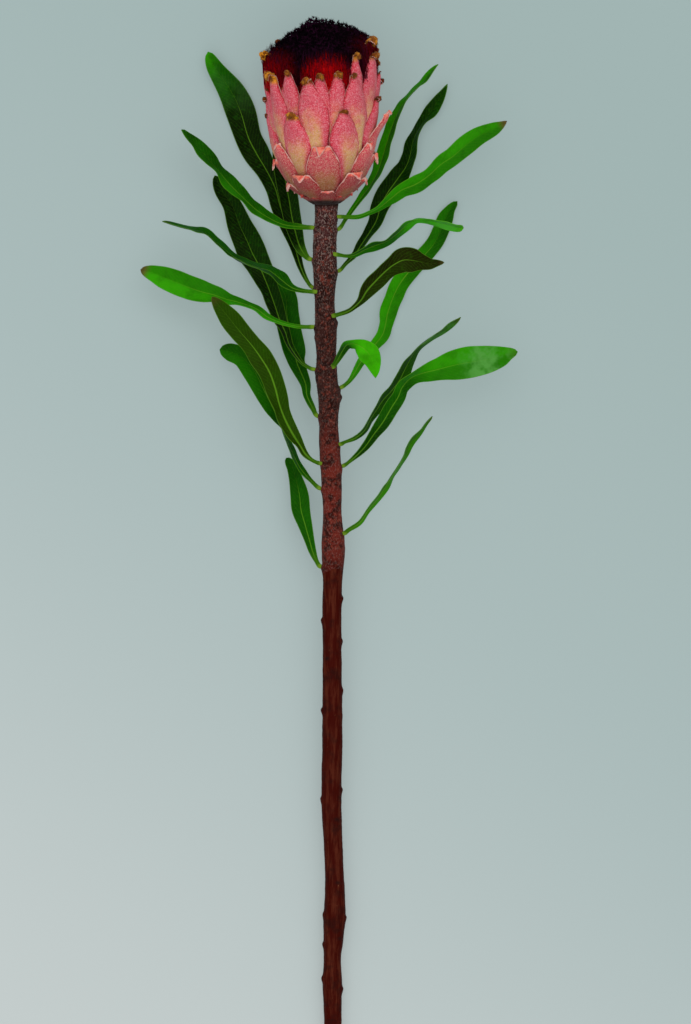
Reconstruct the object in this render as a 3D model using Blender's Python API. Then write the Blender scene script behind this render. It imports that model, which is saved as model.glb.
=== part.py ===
"""A protea in flower on its cut stem, lying on its side as it was picked.

The frame: +Y runs along the stem from the cut end to the flower, +Z is up, and the
surface that it lies on is Z = 0. Tables are in millimetres and degrees, and every mesh
is made in metres.
"""

import math
from collections import namedtuple

import bmesh
import bpy
from mathutils import Vector

MM = 0.001

# Stem
STEM_SIDES = 12
CUT_END_Y = -310.0
CUT_END_Z = 5.4
NECK_Y = 198.0
NECK_Z = 26.7

# Flower head. A place on it is a height up its own axis, an azimuth and a radius.
# Azimuth 0 faces straight up when the flower lies down, and 90 faces +X.
HEAD_FOOT = (-1.2, NECK_Y, NECK_Z)
HEAD_RISE = 8.5
HEAD_LEAN = -2.6
BRACT_PITCH = 2.2
BRACT_THICK = 1.0
BRACT_FOOT_SHARE = 0.6
BRACT_TUCK = 0.5
BRACT_ACROSS = 4
BRACT_ALONG = 8
FLORET_GAP = 1.1
FLORET_FOOT = 23.0
FLORET_SIDES = 20

# Leaves
BLADE_THICK = 0.8
PETIOLE_THICK = 2.0
PETIOLE_SHARE = 0.13
LEAF_STATIONS = 21
LEAF_FOLD = 0.10
TIP_SHARE = 0.07
LEAF_GAP = 0.4

Station = namedtuple("Station", "y x radius")
Bract = namedtuple("Bract", "foot_azimuth tip_azimuth tip width flare")
Row = namedtuple("Row", "name foot outline bracts")
Leaf = namedtuple("Leaf", "name root_y side path")

# The stem's middle line and radius, from the cut end to the neck.
STEM = (
    Station(CUT_END_Y, 2.4, 5.3),
    Station(-290, 2.5, 5.3),
    Station(-267, 2.2, 5.8),
    Station(-256, 2.3, 5.2),
    Station(-246, 2.8, 5.9),
    Station(-230, 3.6, 6.6),
    Station(-214, 3.8, 5.9),
    Station(-197, 3.2, 5.7),
    Station(-160, 1.8, 6.0),
    Station(-125, 2.3, 6.1),
    Station(-76, 2.2, 5.7),
    Station(-42, 2.1, 5.8),
    Station(-23, 2.6, 6.1),
    Station(-14, 2.9, 6.9),
    Station(-5, 2.8, 7.0),
    Station(7, 2.5, 5.8),
    Station(36, 1.6, 6.2),
    Station(52, 0.6, 6.2),
    Station(67, 0.0, 5.7),
    Station(82, 0.3, 6.6),
    Station(92, -0.9, 6.5),
    Station(107, -1.3, 6.0),
    Station(124, -1.6, 6.6),
    Station(140, -2.3, 5.9),
    Station(157, -2.1, 7.1),
    Station(176, -2.2, 7.0),
    Station(191, -1.4, 6.7),
)

# The swollen top of the stem that the bracts stand on: height up the head, radius.
RECEPTACLE = ((1.5, 7.2), (4.5, 8.6), (9.0, 10.4), (14.0, 11.2), (19.0, 11.0), (21.5, 8.5))
RECEPTACLE_TOP = 22.4

# The outside of the closed head: height up its axis, radius.
ENVELOPE = (
    (0.0, 7.0),
    (3.0, 11.0),
    (6.0, 15.2),
    (10.0, 20.0),
    (14.0, 23.4),
    (20.0, 27.0),
    (26.0, 29.7),
    (32.0, 31.4),
    (38.0, 32.6),
    (50.0, 34.0),
    (62.0, 34.7),
    (74.0, 35.1),
    (86.0, 35.3),
    (92.0, 34.8),
    (97.0, 32.8),
    (101.0, 29.8),
    (104.5, 25.5),
    (107.5, 20.0),
    (110.0, 12.5),
    (111.5, 4.0),
)

# Rows of bracts from the outside in. An outline gives the share of the bract's length and
# the share of its greatest width there. A bract is its azimuth at the foot and at the tip,
# the height of its tip, its greatest width and how far its tip stands out.
ROWS = (
    Row(
        "scale",
        3.0,
        ((0.0, 0.55), (0.35, 0.95), (0.6, 1.0), (0.85, 0.85), (1.0, 0.6)),
        (
            Bract(-31, -34, 20, 17, 2.0),
            Bract(46, 42, 19.5, 17, 2.0),
            Bract(103, 100, 14.5, 15, 2.0),
            Bract(174, 174, 16, 16, 0.0),
            Bract(-112, -110, 13.5, 15, 2.0),
        ),
    ),
    Row(
        "outer",
        6.0,
        ((0.0, 0.38), (0.3, 0.9), (0.5, 1.0), (0.72, 0.88), (1.0, 0.42)),
        (
            Bract(1, -5, 38.5, 22.5, 1.6),
            Bract(61, 57, 37, 20.5, 1.5),
            Bract(-61, -56, 39, 19, 1.5),
            Bract(110, 102, 29, 16.5, 3.2),
            Bract(-110, -102, 28, 16.5, 3.2),
            Bract(178, 178, 33, 21, 0.0),
        ),
    ),
    Row(
        "lower",
        9.0,
        ((0.0, 0.25), (0.3, 0.55), (0.65, 1.0), (0.82, 0.9), (0.93, 0.66), (1.0, 0.4)),
        (
            Bract(-37, -32, 59, 20.5, 0.8),
            Bract(33, 21, 59.5, 20.5, 0.8),
            Bract(88, 86, 57, 15, 7.5),
            Bract(-90, -88, 56, 17, 1.5),
            Bract(-143, -143, 57, 18, 0.4),
            Bract(147, 147, 55, 18, 0.4),
        ),
    ),
    Row(
        "middle",
        12.0,
        ((0.0, 0.28), (0.35, 0.55), (0.68, 1.0), (0.84, 0.84), (0.94, 0.5), (1.0, 0.26)),
        (
            Bract(-50, -56, 82, 16.5, 1.5),
            Bract(-2, -13, 80, 20, 1.0),
            Bract(51, 34, 81, 17, 1.0),
            Bract(72, 76, 64, 16, 1.5),
            Bract(108, 101, 76, 14, 3.0),
            Bract(151, 151, 76, 18, 0.4),
            Bract(-157, -157, 79, 18, 0.4),
            Bract(-100, -92, 67, 16, 2.2),
        ),
    ),
    Row(
        "upper",
        15.0,
        ((0.0, 0.42), (0.4, 0.75), (0.7, 1.0), (0.86, 0.86), (0.95, 0.56), (1.0, 0.3)),
        (
            Bract(-38, -35, 84, 12, 1.0),
            Bract(-1, -1, 82, 9, 0.6),
            Bract(17, 17, 82.5, 9.5, 0.8),
            Bract(42, 38, 92.5, 10.5, 0.6),
            Bract(66, 61, 91, 14, 1.2),
            Bract(124, 124, 95, 15, 1.0),
            Bract(-152, -152, 93, 15, 0.4),
            Bract(-84, -78, 94, 15, 1.5),
        ),
    ),
    Row(
        "inner",
        18.0,
        ((0.0, 0.32), (0.4, 0.7), (0.75, 1.0), (0.9, 0.85), (1.0, 0.4)),
        (
            Bract(0, 0, 91, 27, 0.0),
            Bract(65, 65, 97.5, 26, 0.0),
            Bract(-65, -65, 96, 26, 0.0),
            Bract(140, 140, 98, 28, 0.0),
            Bract(-140, -140, 98, 28, 0.0),
        ),
    ),
)

# Leaves. root_y is the height on the stem and side the way round it, from straight up.
# Then come points of the midrib from the petiole to the tip: x, y, z, the blade's width,
# and its roll, where 0 lies face up and 90 stands on edge.
LEAVES = (
    Leaf("leaf_left_1", 183.5, -72, (
        (-20, 184, 31, 5, 45),
        (-28.5, 185.5, 31, 6.5, 45),
        (-36.5, 189.5, 30, 9, 50),
        (-44, 194.5, 29, 11, 50),
        (-52, 202, 27.5, 12, 55),
        (-59, 209, 26, 12.5, 45),
        (-64, 215, 25, 12.5, 55),
        (-68.5, 220.5, 24.5, 12, 60),
        (-74.5, 227.5, 24, 11.5, 45),
        (-80, 234, 24, 9, 45),
        (-85, 239, 25.5, 5.5, 45),
        (-88, 242.5, 26, 3, 45),
    )),
    Leaf("leaf_left_2", 164.5, -92, (
        (-13.5, 166.5, 23.5, 4, 0),
        (-17.5, 173, 21, 7, 0),
        (-20.5, 183.5, 15.5, 10, 0),
        (-22.5, 193, 11.5, 11, 0),
        (-24, 202, 9, 11.5, 0),
        (-26, 212, 6.5, 11.5, 0),
        (-28.5, 224, 4.5, 10, 0),
        (-29.5, 234.5, 3.5, 8.5, 0),
        (-30, 245, 2.6, 5, 0),
    )),
    Leaf("leaf_left_3", 147.5, -108, (
        (-13, 152, 19, 3, 0),
        (-17, 161, 14, 4, 0),
        (-20.5, 173.5, 9.5, 6.5, 0),
        (-24.5, 185, 6, 9.5, 0),
        (-29, 196.5, 3.5, 11, 0),
        (-32, 207.5, 1.9, 11.5, 0),
        (-37, 218, 1.3, 12.5, 0),
        (-43.5, 229, 0.6, 16, 0),
        (-48.5, 239, 0.5, 16, 0),
        (-53, 254, 0.5, 18, 0),
        (-58.5, 266, 1.9, 16, 0),
        (-68.5, 280.5, 5.5, 8.5, 0),
        (-72.5, 289.5, 8, 5, 0),
    )),
    Leaf("leaf_left_4", 145, -48, (
        (-16, 145.5, 31, 3.5, 40),
        (-22.5, 147.5, 31, 5.5, 40),
        (-29, 152.5, 30.5, 12, 50),
        (-35.5, 157.5, 29.5, 12, 60),
        (-42.5, 159.5, 28.5, 11.5, 75),
        (-53, 163.5, 27.5, 11.5, 75),
        (-59.5, 168, 27, 11, 70),
        (-67, 174.5, 27.5, 10, 70),
        (-74, 180.5, 27.5, 9, 65),
        (-79.5, 182, 28, 8, 65),
        (-86.5, 183.5, 28.5, 6.5, 75),
        (-93.5, 185.5, 29, 5, 70),
        (-99.5, 187.5, 29.5, 3, 65),
    )),
    Leaf("leaf_left_5", 124, -82, (
        (-17, 124, 26, 3, 35),
        (-23.5, 125, 27, 3.5, 45),
        (-30.5, 127, 27.5, 4, 45),
        (-37, 130, 28, 5, 40),
        (-43, 134.5, 28, 6, 50),
        (-49, 137, 27.5, 7, 55),
        (-55.5, 139, 26.5, 8.5, 50),
        (-61.5, 140.5, 26, 10, 45),
        (-68.5, 143, 25, 12, 30),
        (-76, 145, 24, 14, 15),
        (-84.5, 148, 22.5, 14.5, 0),
        (-92, 151, 21.5, 14.5, 0),
        (-99.5, 154, 20.5, 13, 0),
        (-106, 156.5, 19.5, 9.5, 0),
        (-113, 158.5, 18, 5, 0),
    )),
    Leaf("leaf_left_6", 98.5, -88, (
        (-12.5, 100, 21, 3, 35),
        (-17.5, 104, 18, 3.5, 40),
        (-23.5, 113, 13.5, 5.5, 45),
        (-26, 120.5, 11.5, 7, 40),
        (-29.5, 128.5, 9, 9, 25),
        (-32.5, 137.5, 7, 11, 25),
        (-36.5, 148.5, 5.5, 12.5, 20),
        (-41.5, 160.5, 4, 15, 0),
        (-46, 169, 3, 17.5, 0),
        (-49, 176, 2.5, 17, 0),
        (-53.5, 185.5, 2.3, 15, 0),
        (-58, 197.5, 2.5, 11.5, 0),
        (-64, 206, 3, 9, 0),
        (-68.5, 215.5, 4.5, 5, 0),
    )),
    Leaf("leaf_left_7", 70.5, -98, (
        (-9.5, 75.5, 17, 3.5, 0),
        (-13, 83, 13, 4.5, 0),
        (-14, 90.5, 10.5, 6.5, 0),
        (-19, 102.5, 7, 10, 0),
        (-20.5, 110, 5.5, 13.5, 0),
        (-23, 120.5, 3.5, 14, 0),
        (-25, 131.5, 1.8, 14.5, 0),
        (-26, 143, 0.9, 13, 0),
        (-31, 152.5, 0.5, 8.5, 0),
        (-35, 160.5, 0.5, 5, 0),
    )),
    Leaf("leaf_left_8", 42, -55, (
        (-10, 44, 28.5, 3, 35),
        (-14, 47.5, 29.5, 4.5, 35),
        (-17.5, 53, 30, 6.5, 45),
        (-21.5, 59.5, 30.5, 8.5, 20),
        (-26, 68, 30.5, 10, 25),
        (-29.5, 77, 31, 12, 35),
        (-32, 87.5, 31, 12.5, 0),
        (-35.5, 97, 31, 13, 0),
        (-41, 106, 31, 14, 0),
        (-46.5, 113.5, 31, 12, 0),
        (-53, 121, 31, 12.5, 0),
        (-59, 128.5, 31, 12.5, 0),
        (-65, 136, 31, 8.5, 0),
        (-70, 142, 31, 4, 0),
    )),
    Leaf("leaf_left_9", 27, -92, (
        (-10.5, 31.5, 19, 3.5, 50),
        (-15.5, 37, 19, 5, 40),
        (-18.5, 41.5, 19, 6, 50),
        (-22, 49, 19, 8, 65),
        (-26, 58, 19, 8, 75),
        (-28, 64, 19, 8.5, 65),
        (-31, 70, 19, 9.5, 40),
        (-35, 78.5, 18.5, 11, 0),
        (-40, 88.5, 17.5, 13, 0),
        (-44.5, 97.5, 16.5, 14.5, 0),
        (-51.5, 105.5, 15, 12, 0),
        (-59, 109, 14, 11, 0),
        (-65.5, 110.5, 13.5, 6.5, 0),
    )),
    Leaf("leaf_left_10", -20, -90, (
        (-7, -17, 17, 2.5, 0),
        (-9.5, -11, 16, 4.5, 0),
        (-11.5, -4, 15, 6, 0),
        (-14, 5, 14, 8.5, 0),
        (-16.5, 14, 12.5, 11, 0),
        (-17.5, 23, 11, 11, 0),
        (-19.5, 32, 9, 8.5, 0),
        (-22, 40, 7.5, 6.5, 0),
        (-25.5, 45.5, 6.5, 3.5, 0),
    )),
    Leaf("leaf_right_1", 182.5, 100, (
        (10, 188, 24, 3, -35),
        (15.5, 196, 21.5, 4, -40),
        (20, 202, 19.5, 5.5, -50),
        (25.5, 209.5, 18, 8, -55),
        (29.5, 217, 17, 9.5, -50),
        (32.5, 226, 16.5, 10, -45),
        (35, 234.5, 17, 10, -45),
        (37.5, 242.5, 18, 9.5, -45),
        (41, 251.5, 19.5, 9, -60),
        (44.5, 257.5, 21.5, 8.5, -60),
        (49, 263.5, 23, 7, -75),
        (54.5, 269, 25.5, 6, -70),
        (58, 272.5, 27, 5.5, -50),
        (61.5, 277, 28, 4, -40),
        (65.5, 281.5, 30, 2.5, -40),
    )),
    Leaf("leaf_right_2", 157.5, 100, (
        (10.5, 162, 19.5, 3.5, -45),
        (16, 167.5, 15.5, 5, -40),
        (19.5, 173, 13, 6.5, -40),
        (25, 181.5, 9, 8.5, -40),
        (29, 188.5, 6.5, 10, -30),
        (31.5, 197, 4, 12, -20),
        (35.5, 205, 2.1, 13, 0),
        (41.5, 213.5, 1, 12.5, 0),
        (46.5, 220.5, 3.5, 11.5, -30),
        (49, 227, 4, 11, -40),
        (50.5, 234.5, 4, 10, -45),
        (53, 241.5, 4, 9, -55),
        (57.5, 248.5, 3.5, 8.5, -50),
        (62, 254.5, 3.5, 8.5, -20),
        (65.5, 260, 5, 7, 0),
        (69, 265.5, 6.5, 4.5, 0),
        (71.5, 270.5, 7.5, 2.5, 0),
    )),
    Leaf("leaf_right_3", 190, 72, (
        (17, 190, 31.5, 3.5, 45),
        (24.5, 192.5, 32, 4, 50),
        (30.5, 195.5, 32.5, 5.5, 55),
        (37.5, 201, 33, 8, 35),
        (44, 206, 33.5, 9.5, 30),
        (52.5, 209.5, 34, 11, 20),
        (60.5, 215, 34, 11, 35),
        (67, 221, 33.5, 11.5, 25),
        (74.5, 226, 33, 11, 0),
        (82, 232.5, 32, 12, 0),
        (89.5, 238, 31, 11, 0),
        (98, 242, 30, 8.5, 0),
        (103.5, 245, 28.5, 5.5, 0),
        (107, 247.5, 28, 3, 0),
    )),
    Leaf("leaf_right_4", 167.5, 45, (
        (10, 166.5, 33, 2.5, 40),
        (15.5, 167, 34.5, 4, 45),
        (21.5, 170, 36, 6, 55),
        (27.5, 172.5, 37, 8, 50),
        (34.5, 175, 38, 9, 65),
        (41, 179.5, 38.5, 9, 60),
        (47, 185, 38.5, 9, 60),
        (52.5, 188, 38.5, 9, 75),
        (58, 188, 38, 8.5, 75),
        (64, 186.5, 37.5, 8.5, 65),
        (71, 185, 36.5, 8.5, 60),
        (77, 183.5, 35.5, 8, 55),
        (81, 183, 35, 5.5, 35),
    )),
    Leaf("leaf_right_5", 87.5, 96, (
        (13, 92.5, 16.5, 3.5, 35),
        (19.5, 103.5, 11, 5.5, 25),
        (26, 111.5, 7.5, 6.5, 25),
        (32, 119, 5, 8.5, 25),
        (34, 125, 3.5, 9.5, 30),
        (35.5, 132.5, 2.4, 11, 20),
        (38.5, 141.5, 3, 11.5, 25),
        (43, 150.5, 0.6, 11, 0),
        (50, 159.5, 0.5, 11, 0),
        (59, 169, 0.5, 10, 0),
        (64.5, 176, 0.8, 10, 0),
        (68, 183.5, 1.3, 10, 0),
        (70.5, 190, 2, 9.5, 0),
        (73.5, 195.5, 2.8, 6.5, 0),
        (77.5, 200, 3.5, 3.5, 0),
    )),
    Leaf("leaf_right_6", 130.5, 38, (
        (11, 133, 35.5, 3, 35),
        (15.5, 136, 37.5, 4, 40),
        (19.5, 140, 39, 6.5, 40),
        (23, 145.5, 41, 9.5, 25),
        (28, 151, 43, 11.5, 25),
        (33.5, 156.5, 44, 12, 30),
        (38.5, 160.5, 45, 12.5, 25),
        (44.5, 163.5, 44.5, 15, 0),
        (50, 163.5, 43, 14.5, 0),
        (55.5, 162.5, 40.5, 10, 0),
        (60.5, 161.5, 38, 7, 0),
        (64.5, 162, 36, 4.5, 0),
        (69.5, 162.5, 33, 2.5, 0),
    )),
    Leaf("leaf_right_7", 100, 30, (
        (5, 103.5, 33.5, 3.5, 25),
        (8, 109, 38, 5.5, 35),
        (11, 113, 42, 7, 45),
        (15.5, 113.5, 45, 8, 50),
        (19.5, 111.5, 46, 8.5, 30),
        (23.5, 108, 45.5, 11, 0),
        (26.5, 103.5, 43.5, 11, 0),
        (28, 98.5, 41, 7, 0),
        (28, 93.5, 38.5, 3.5, 0),
    )),
    Leaf("leaf_right_8", 53.5, 62, (
        (10, 55, 26.5, 2.5, 40),
        (16, 57.5, 27.5, 3.5, 40),
        (21.5, 62, 27, 5, 55),
        (25, 68.5, 26.5, 6, 60),
        (28.5, 74, 26, 7, 55),
        (32.5, 80, 25, 8.5, 50),
        (37.5, 85.5, 24, 9.5, 50),
        (42.5, 92, 23.5, 10, 40),
        (45.5, 98, 23, 10, 45),
        (49, 104.5, 23, 9.5, 60),
        (53, 110.5, 23, 8.5, 70),
        (59.5, 116, 23.5, 7, 80),
        (67, 120.5, 24.5, 6, 65),
        (73, 125, 25, 5, 45),
        (79.5, 129.5, 26, 2.5, 40),
    )),
    Leaf("leaf_right_9", 40.5, 84, (
        (13, 43.5, 24, 2.5, 0),
        (18.5, 48.5, 27, 4, 30),
        (22.5, 53, 29.5, 5.5, 25),
        (26.5, 59.5, 32, 7, 25),
        (31, 67, 34, 8.5, 0),
        (35.5, 75.5, 36, 11, 0),
        (39.5, 82, 37.5, 11, 20),
        (43, 88, 38, 10, 35),
        (49, 93, 38, 11, 50),
        (56, 96, 38, 11.5, 40),
        (64.5, 98, 37.5, 13, 0),
        (74, 100.5, 36, 17.5, 0),
        (83.5, 102.5, 34.5, 19, 0),
        (93.5, 104, 32.5, 17, 0),
        (102.5, 106, 30.5, 13, 0),
        (108.5, 108, 29, 8.5, 0),
        (113.5, 109, 27.5, 4, 0),
    )),
    Leaf("leaf_right_10", 0, 60, (
        (12.5, 2.5, 24.5, 3, 35),
        (19, 7, 26, 4, 50),
        (23.5, 14, 27, 5.5, 60),
        (28.5, 20, 28, 6.5, 65),
        (32, 25, 28, 7, 65),
        (35, 29.5, 28.5, 8, 65),
        (38.5, 35, 29, 8, 80),
        (41.5, 39.5, 29.5, 8, 80),
        (45, 45.5, 29.5, 7, 75),
        (47.5, 51.5, 30, 7, 60),
        (50.5, 56, 30.5, 6.5, 55),
        (55, 61, 31, 5.5, 65),
        (59, 66.5, 31, 4, 70),
        (62.5, 70, 31.5, 2.5, 60),
    )),
)


def clear_scene():
    """Takes every object out of the open scene."""
    for obj in list(bpy.data.objects):
        bpy.data.objects.remove(obj)


def material(name, colour, roughness):
    """A plain Principled material."""
    made = bpy.data.materials.new(name)
    made.use_nodes = True
    shader = made.node_tree.nodes["Principled BSDF"]
    shader.inputs["Base Color"].default_value = (*colour, 1.0)
    shader.inputs["Roughness"].default_value = roughness
    shader.inputs["Metallic"].default_value = 0.0
    return made


def between(table, at):
    """The value at a place in a table of (place, value), on straight lines."""
    for (low, first), (high, second) in zip(table, table[1:]):
        if at <= high:
            share = max(0.0, (at - low) / (high - low))
            return first + (second - first) * share
    return table[-1][1]


def smooth_step(x):
    """0 up to 0, 1 from 1, and a smooth rise between."""
    x = min(1.0, max(0.0, x))
    return x * x * (3.0 - 2.0 * x)


def curve_point(before, start, end, after, t):
    """A point of the smooth curve that runs through all four, between start and end."""
    return [
        0.5 * (
            2 * b
            + (c - a) * t
            + (2 * a - 5 * b + 4 * c - d) * t * t
            + (3 * b - a - 3 * c + d) * t * t * t
        )
        for a, b, c, d in zip(before, start, end, after)
    ]


def smooth_through(points, count, steps=12):
    """count rows, evenly spaced along the smooth curve through the points."""
    ends = [points[0], *points, points[-1]]
    fine = [
        curve_point(*ends[i : i + 4], step / steps)
        for i in range(len(points) - 1)
        for step in range(steps)
    ]
    fine.append(list(points[-1]))
    reach = [0.0]
    for a, b in zip(fine, fine[1:]):
        reach.append(reach[-1] + math.dist(a[:3], b[:3]))
    rows = []
    at = 0
    for i in range(count):
        wanted = reach[-1] * i / (count - 1)
        while at < len(fine) - 2 and reach[at + 1] < wanted:
            at += 1
        share = (wanted - reach[at]) / (reach[at + 1] - reach[at])
        rows.append([a + (b - a) * share for a, b in zip(fine[at], fine[at + 1])])
    return rows


def stem_z(y):
    """The height of the stem's middle line."""
    share = (y - CUT_END_Y) / (NECK_Y - CUT_END_Y)
    return CUT_END_Z + (NECK_Z - CUT_END_Z) * share


def head_frame():
    """The foot of the head's axis, the axis, and the ways to azimuth 90 and azimuth 0."""
    rise = math.radians(HEAD_RISE)
    lean = math.radians(HEAD_LEAN)
    axis = Vector((math.sin(lean) * math.cos(rise), math.cos(lean) * math.cos(rise), math.sin(rise)))
    right = axis.cross(Vector((0, 0, 1))).normalized()
    return Vector(HEAD_FOOT), axis, right, right.cross(axis)


def on_head(height, azimuth, radius):
    """A point of the head, from its height, azimuth in radians and radius."""
    foot, axis, right, front = head_frame()
    out = right * math.sin(azimuth) + front * math.cos(azimuth)
    return foot + axis * height + out * radius


def tallest(row):
    return max(bract.tip for bract in row.bracts)


def row_depth(index, height):
    """How far a row of bracts lies under the head's outside, by the rows that cover it."""
    covers = (1 - smooth_step((height - tallest(row) - 1.0) / 14.0) for row in ROWS[:index])
    return BRACT_PITCH * sum(covers)


def sheet_object(name, rows, look, thickness, shares):
    """An open sheet of quads from rows of points, given its thickness by Solidify."""
    mesh = bpy.data.meshes.new(name)
    bm = bmesh.new()
    grid = [[bm.verts.new(Vector(p) * MM) for p in row] for row in rows]
    for low, high in zip(grid, grid[1:]):
        for a, b, c, d in zip(low, low[1:], high[1:], high):
            bm.faces.new((a, b, c, d))
    bm.normal_update()
    bm.to_mesh(mesh)
    bm.free()
    mesh.shade_smooth()
    mesh.materials.append(look)
    obj = bpy.data.objects.new(name, mesh)
    bpy.context.scene.collection.objects.link(obj)
    group = obj.vertex_groups.new(name="thickness")
    across = len(rows[0])
    for i, share in enumerate(shares):
        group.add(range(i * across, (i + 1) * across), share, "REPLACE")
    solid = obj.modifiers.new("thickness", "SOLIDIFY")
    solid.thickness = thickness * MM
    solid.offset = 0.0
    solid.vertex_group = group.name
    return obj


def ring_solid(name, rings, look):
    """A closed solid through rings of points, with a flat cap on each end."""
    mesh = bpy.data.meshes.new(name)
    bm = bmesh.new()
    loops = [[bm.verts.new(Vector(p) * MM) for p in ring] for ring in rings]
    for low, high in zip(loops, loops[1:]):
        for i in range(len(low)):
            k = (i + 1) % len(low)
            bm.faces.new((low[i], low[k], high[k], high[i]))
    bm.faces.new(reversed(loops[0]))
    bm.faces.new(loops[-1])
    bmesh.ops.recalc_face_normals(bm, faces=bm.faces)
    bm.to_mesh(mesh)
    bm.free()
    mesh.shade_smooth()
    mesh.set_sharp_from_angle(angle=math.radians(50))
    mesh.materials.append(look)
    obj = bpy.data.objects.new(name, mesh)
    bpy.context.scene.collection.objects.link(obj)
    return obj


def stem_rings():
    """Upright rings along the stem, then rings up the receptacle inside the head."""
    rings = []
    for station in STEM:
        centre = Vector((station.x, station.y, stem_z(station.y)))
        turns = (2 * math.pi * i / STEM_SIDES for i in range(STEM_SIDES))
        rings.append([
            centre + Vector((math.sin(a), 0, math.cos(a))) * station.radius for a in turns
        ])
    for height, radius in (*RECEPTACLE, (RECEPTACLE_TOP, 3.0)):
        turns = (2 * math.pi * i / STEM_SIDES for i in range(STEM_SIDES))
        rings.append([on_head(height, a, radius) for a in turns])
    return rings


def floret_rings():
    """The packed mass of florets, from just over the receptacle to the crown."""
    last = len(ROWS)
    rings = []
    heights = (FLORET_FOOT, 30, 40, 52, 64, 76, 86, 92, 97, 101, 104.5, 107.5, 110, 111.5)
    for height in heights:
        radius = between(ENVELOPE, height) - row_depth(last, height) - FLORET_GAP
        radius = max(radius, 2.5)
        turns = (2 * math.pi * i / FLORET_SIDES for i in range(FLORET_SIDES))
        rings.append([on_head(height, a, radius) for a in turns])
    return rings


def bract_rows(index, row, bract):
    """The points of one bract's sheet, from its foot to its tip."""
    rows = []
    for i in range(BRACT_ALONG + 1):
        share = i / BRACT_ALONG
        height = row.foot + (bract.tip - row.foot) * share
        radius = between(ENVELOPE, height) - row_depth(index, height)
        radius += bract.flare * smooth_step((share - 0.55) / 0.45) ** 1.5
        half = 0.5 * bract.width * between(row.outline, share)
        middle = math.radians(
            bract.foot_azimuth + (bract.tip_azimuth - bract.foot_azimuth) * share
        )
        points = []
        for k in range(BRACT_ACROSS + 1):
            side = 2 * k / BRACT_ACROSS - 1
            azimuth = middle + side * half / radius
            points.append(on_head(height, azimuth, radius - BRACT_TUCK * side * side))
        rows.append(points)
    return rows


def add_bracts(looks):
    """Every bract of every row, each its own object."""
    shares = [
        BRACT_FOOT_SHARE + (1 - BRACT_FOOT_SHARE) * smooth_step(3 * i / BRACT_ALONG)
        for i in range(BRACT_ALONG + 1)
    ]
    for index, row in enumerate(ROWS):
        for number, bract in enumerate(row.bracts, 1):
            rows = bract_rows(index, row, bract)
            name = f"bract_{row.name}_{number}"
            sheet_object(name, rows, looks[row.name], BRACT_THICK, shares)


def leaf_root(leaf):
    """Where the petiole meets the side of the stem."""
    stem = [(s.y, s.x) for s in STEM]
    girth = [(s.y, s.radius) for s in STEM]
    side = math.radians(leaf.side)
    reach = between(girth, leaf.root_y) + PETIOLE_THICK / 2 + LEAF_GAP
    x = between(stem, leaf.root_y) + math.sin(side) * reach
    z = stem_z(leaf.root_y) + math.cos(side) * reach
    return (x, leaf.root_y, z, 2.2, 0.0)


def leaf_rows(leaf):
    """The points of one leaf's sheet: left edge, midrib and right edge at each station."""
    stations = smooth_through([leaf_root(leaf), *leaf.path], LEAF_STATIONS)
    rows = []
    for i, (x, y, z, width, roll) in enumerate(stations):
        ahead = Vector(stations[min(i + 1, LEAF_STATIONS - 1)][:3])
        behind = Vector(stations[max(i - 1, 0)][:3])
        along = (ahead - behind).normalized()
        flat = Vector((0, 0, 1)).cross(along).normalized()
        up = along.cross(flat)
        turn = math.radians(roll)
        side = flat * math.cos(turn) + up * math.sin(turn)
        face = along.cross(side)
        left = 1 - i / (LEAF_STATIONS - 1)
        rounding = math.sqrt(max(0.0, 1 - max(0.0, 1 - left / TIP_SHARE) ** 2))
        half = 0.5 * width * max(rounding, 0.2)
        middle = Vector((x, y, z))
        lift = face * (LEAF_FOLD * 2 * half)
        rows.append([middle + side * half + lift, middle, middle - side * half + lift])
    return rows


def add_leaves(look):
    """Every leaf, each its own object."""
    thin = BLADE_THICK / PETIOLE_THICK
    shares = [
        thin + (1 - thin) * (1 - smooth_step(i / (LEAF_STATIONS - 1) / PETIOLE_SHARE))
        for i in range(LEAF_STATIONS)
    ]
    for leaf in LEAVES:
        sheet_object(leaf.name, leaf_rows(leaf), look, PETIOLE_THICK, shares)


def main():
    clear_scene()
    bark = material("bark", (0.16, 0.035, 0.025), 0.8)
    blade = material("leaf_green", (0.03, 0.16, 0.015), 0.45)
    beard = material("floret_black", (0.03, 0.004, 0.012), 0.9)
    pink = material("bract_pink", (0.72, 0.22, 0.2), 0.85)
    looks = {row.name: pink for row in ROWS}
    looks["scale"] = material("bract_dusty", (0.5, 0.2, 0.17), 0.9)
    looks["inner"] = material("bract_crimson", (0.4, 0.01, 0.02), 0.8)
    ring_solid("stem", stem_rings(), bark)
    ring_solid("florets", floret_rings(), beard)
    add_bracts(looks)
    add_leaves(blade)


main()
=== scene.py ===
"""The looks of a protea in flower on its cut stem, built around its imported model.

The frame: +Y runs along the stem from the cut end to the flower, +Z is up, and the
surface that it lies on is Z = 0. Tables are in millimetres and degrees, and every mesh is
made in metres. The tables of the stem, the head, its rows of bracts and the leaves are
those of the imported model.
"""

import math
from collections import namedtuple

import bpy
import numpy as np
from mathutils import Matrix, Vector, noise


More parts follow.
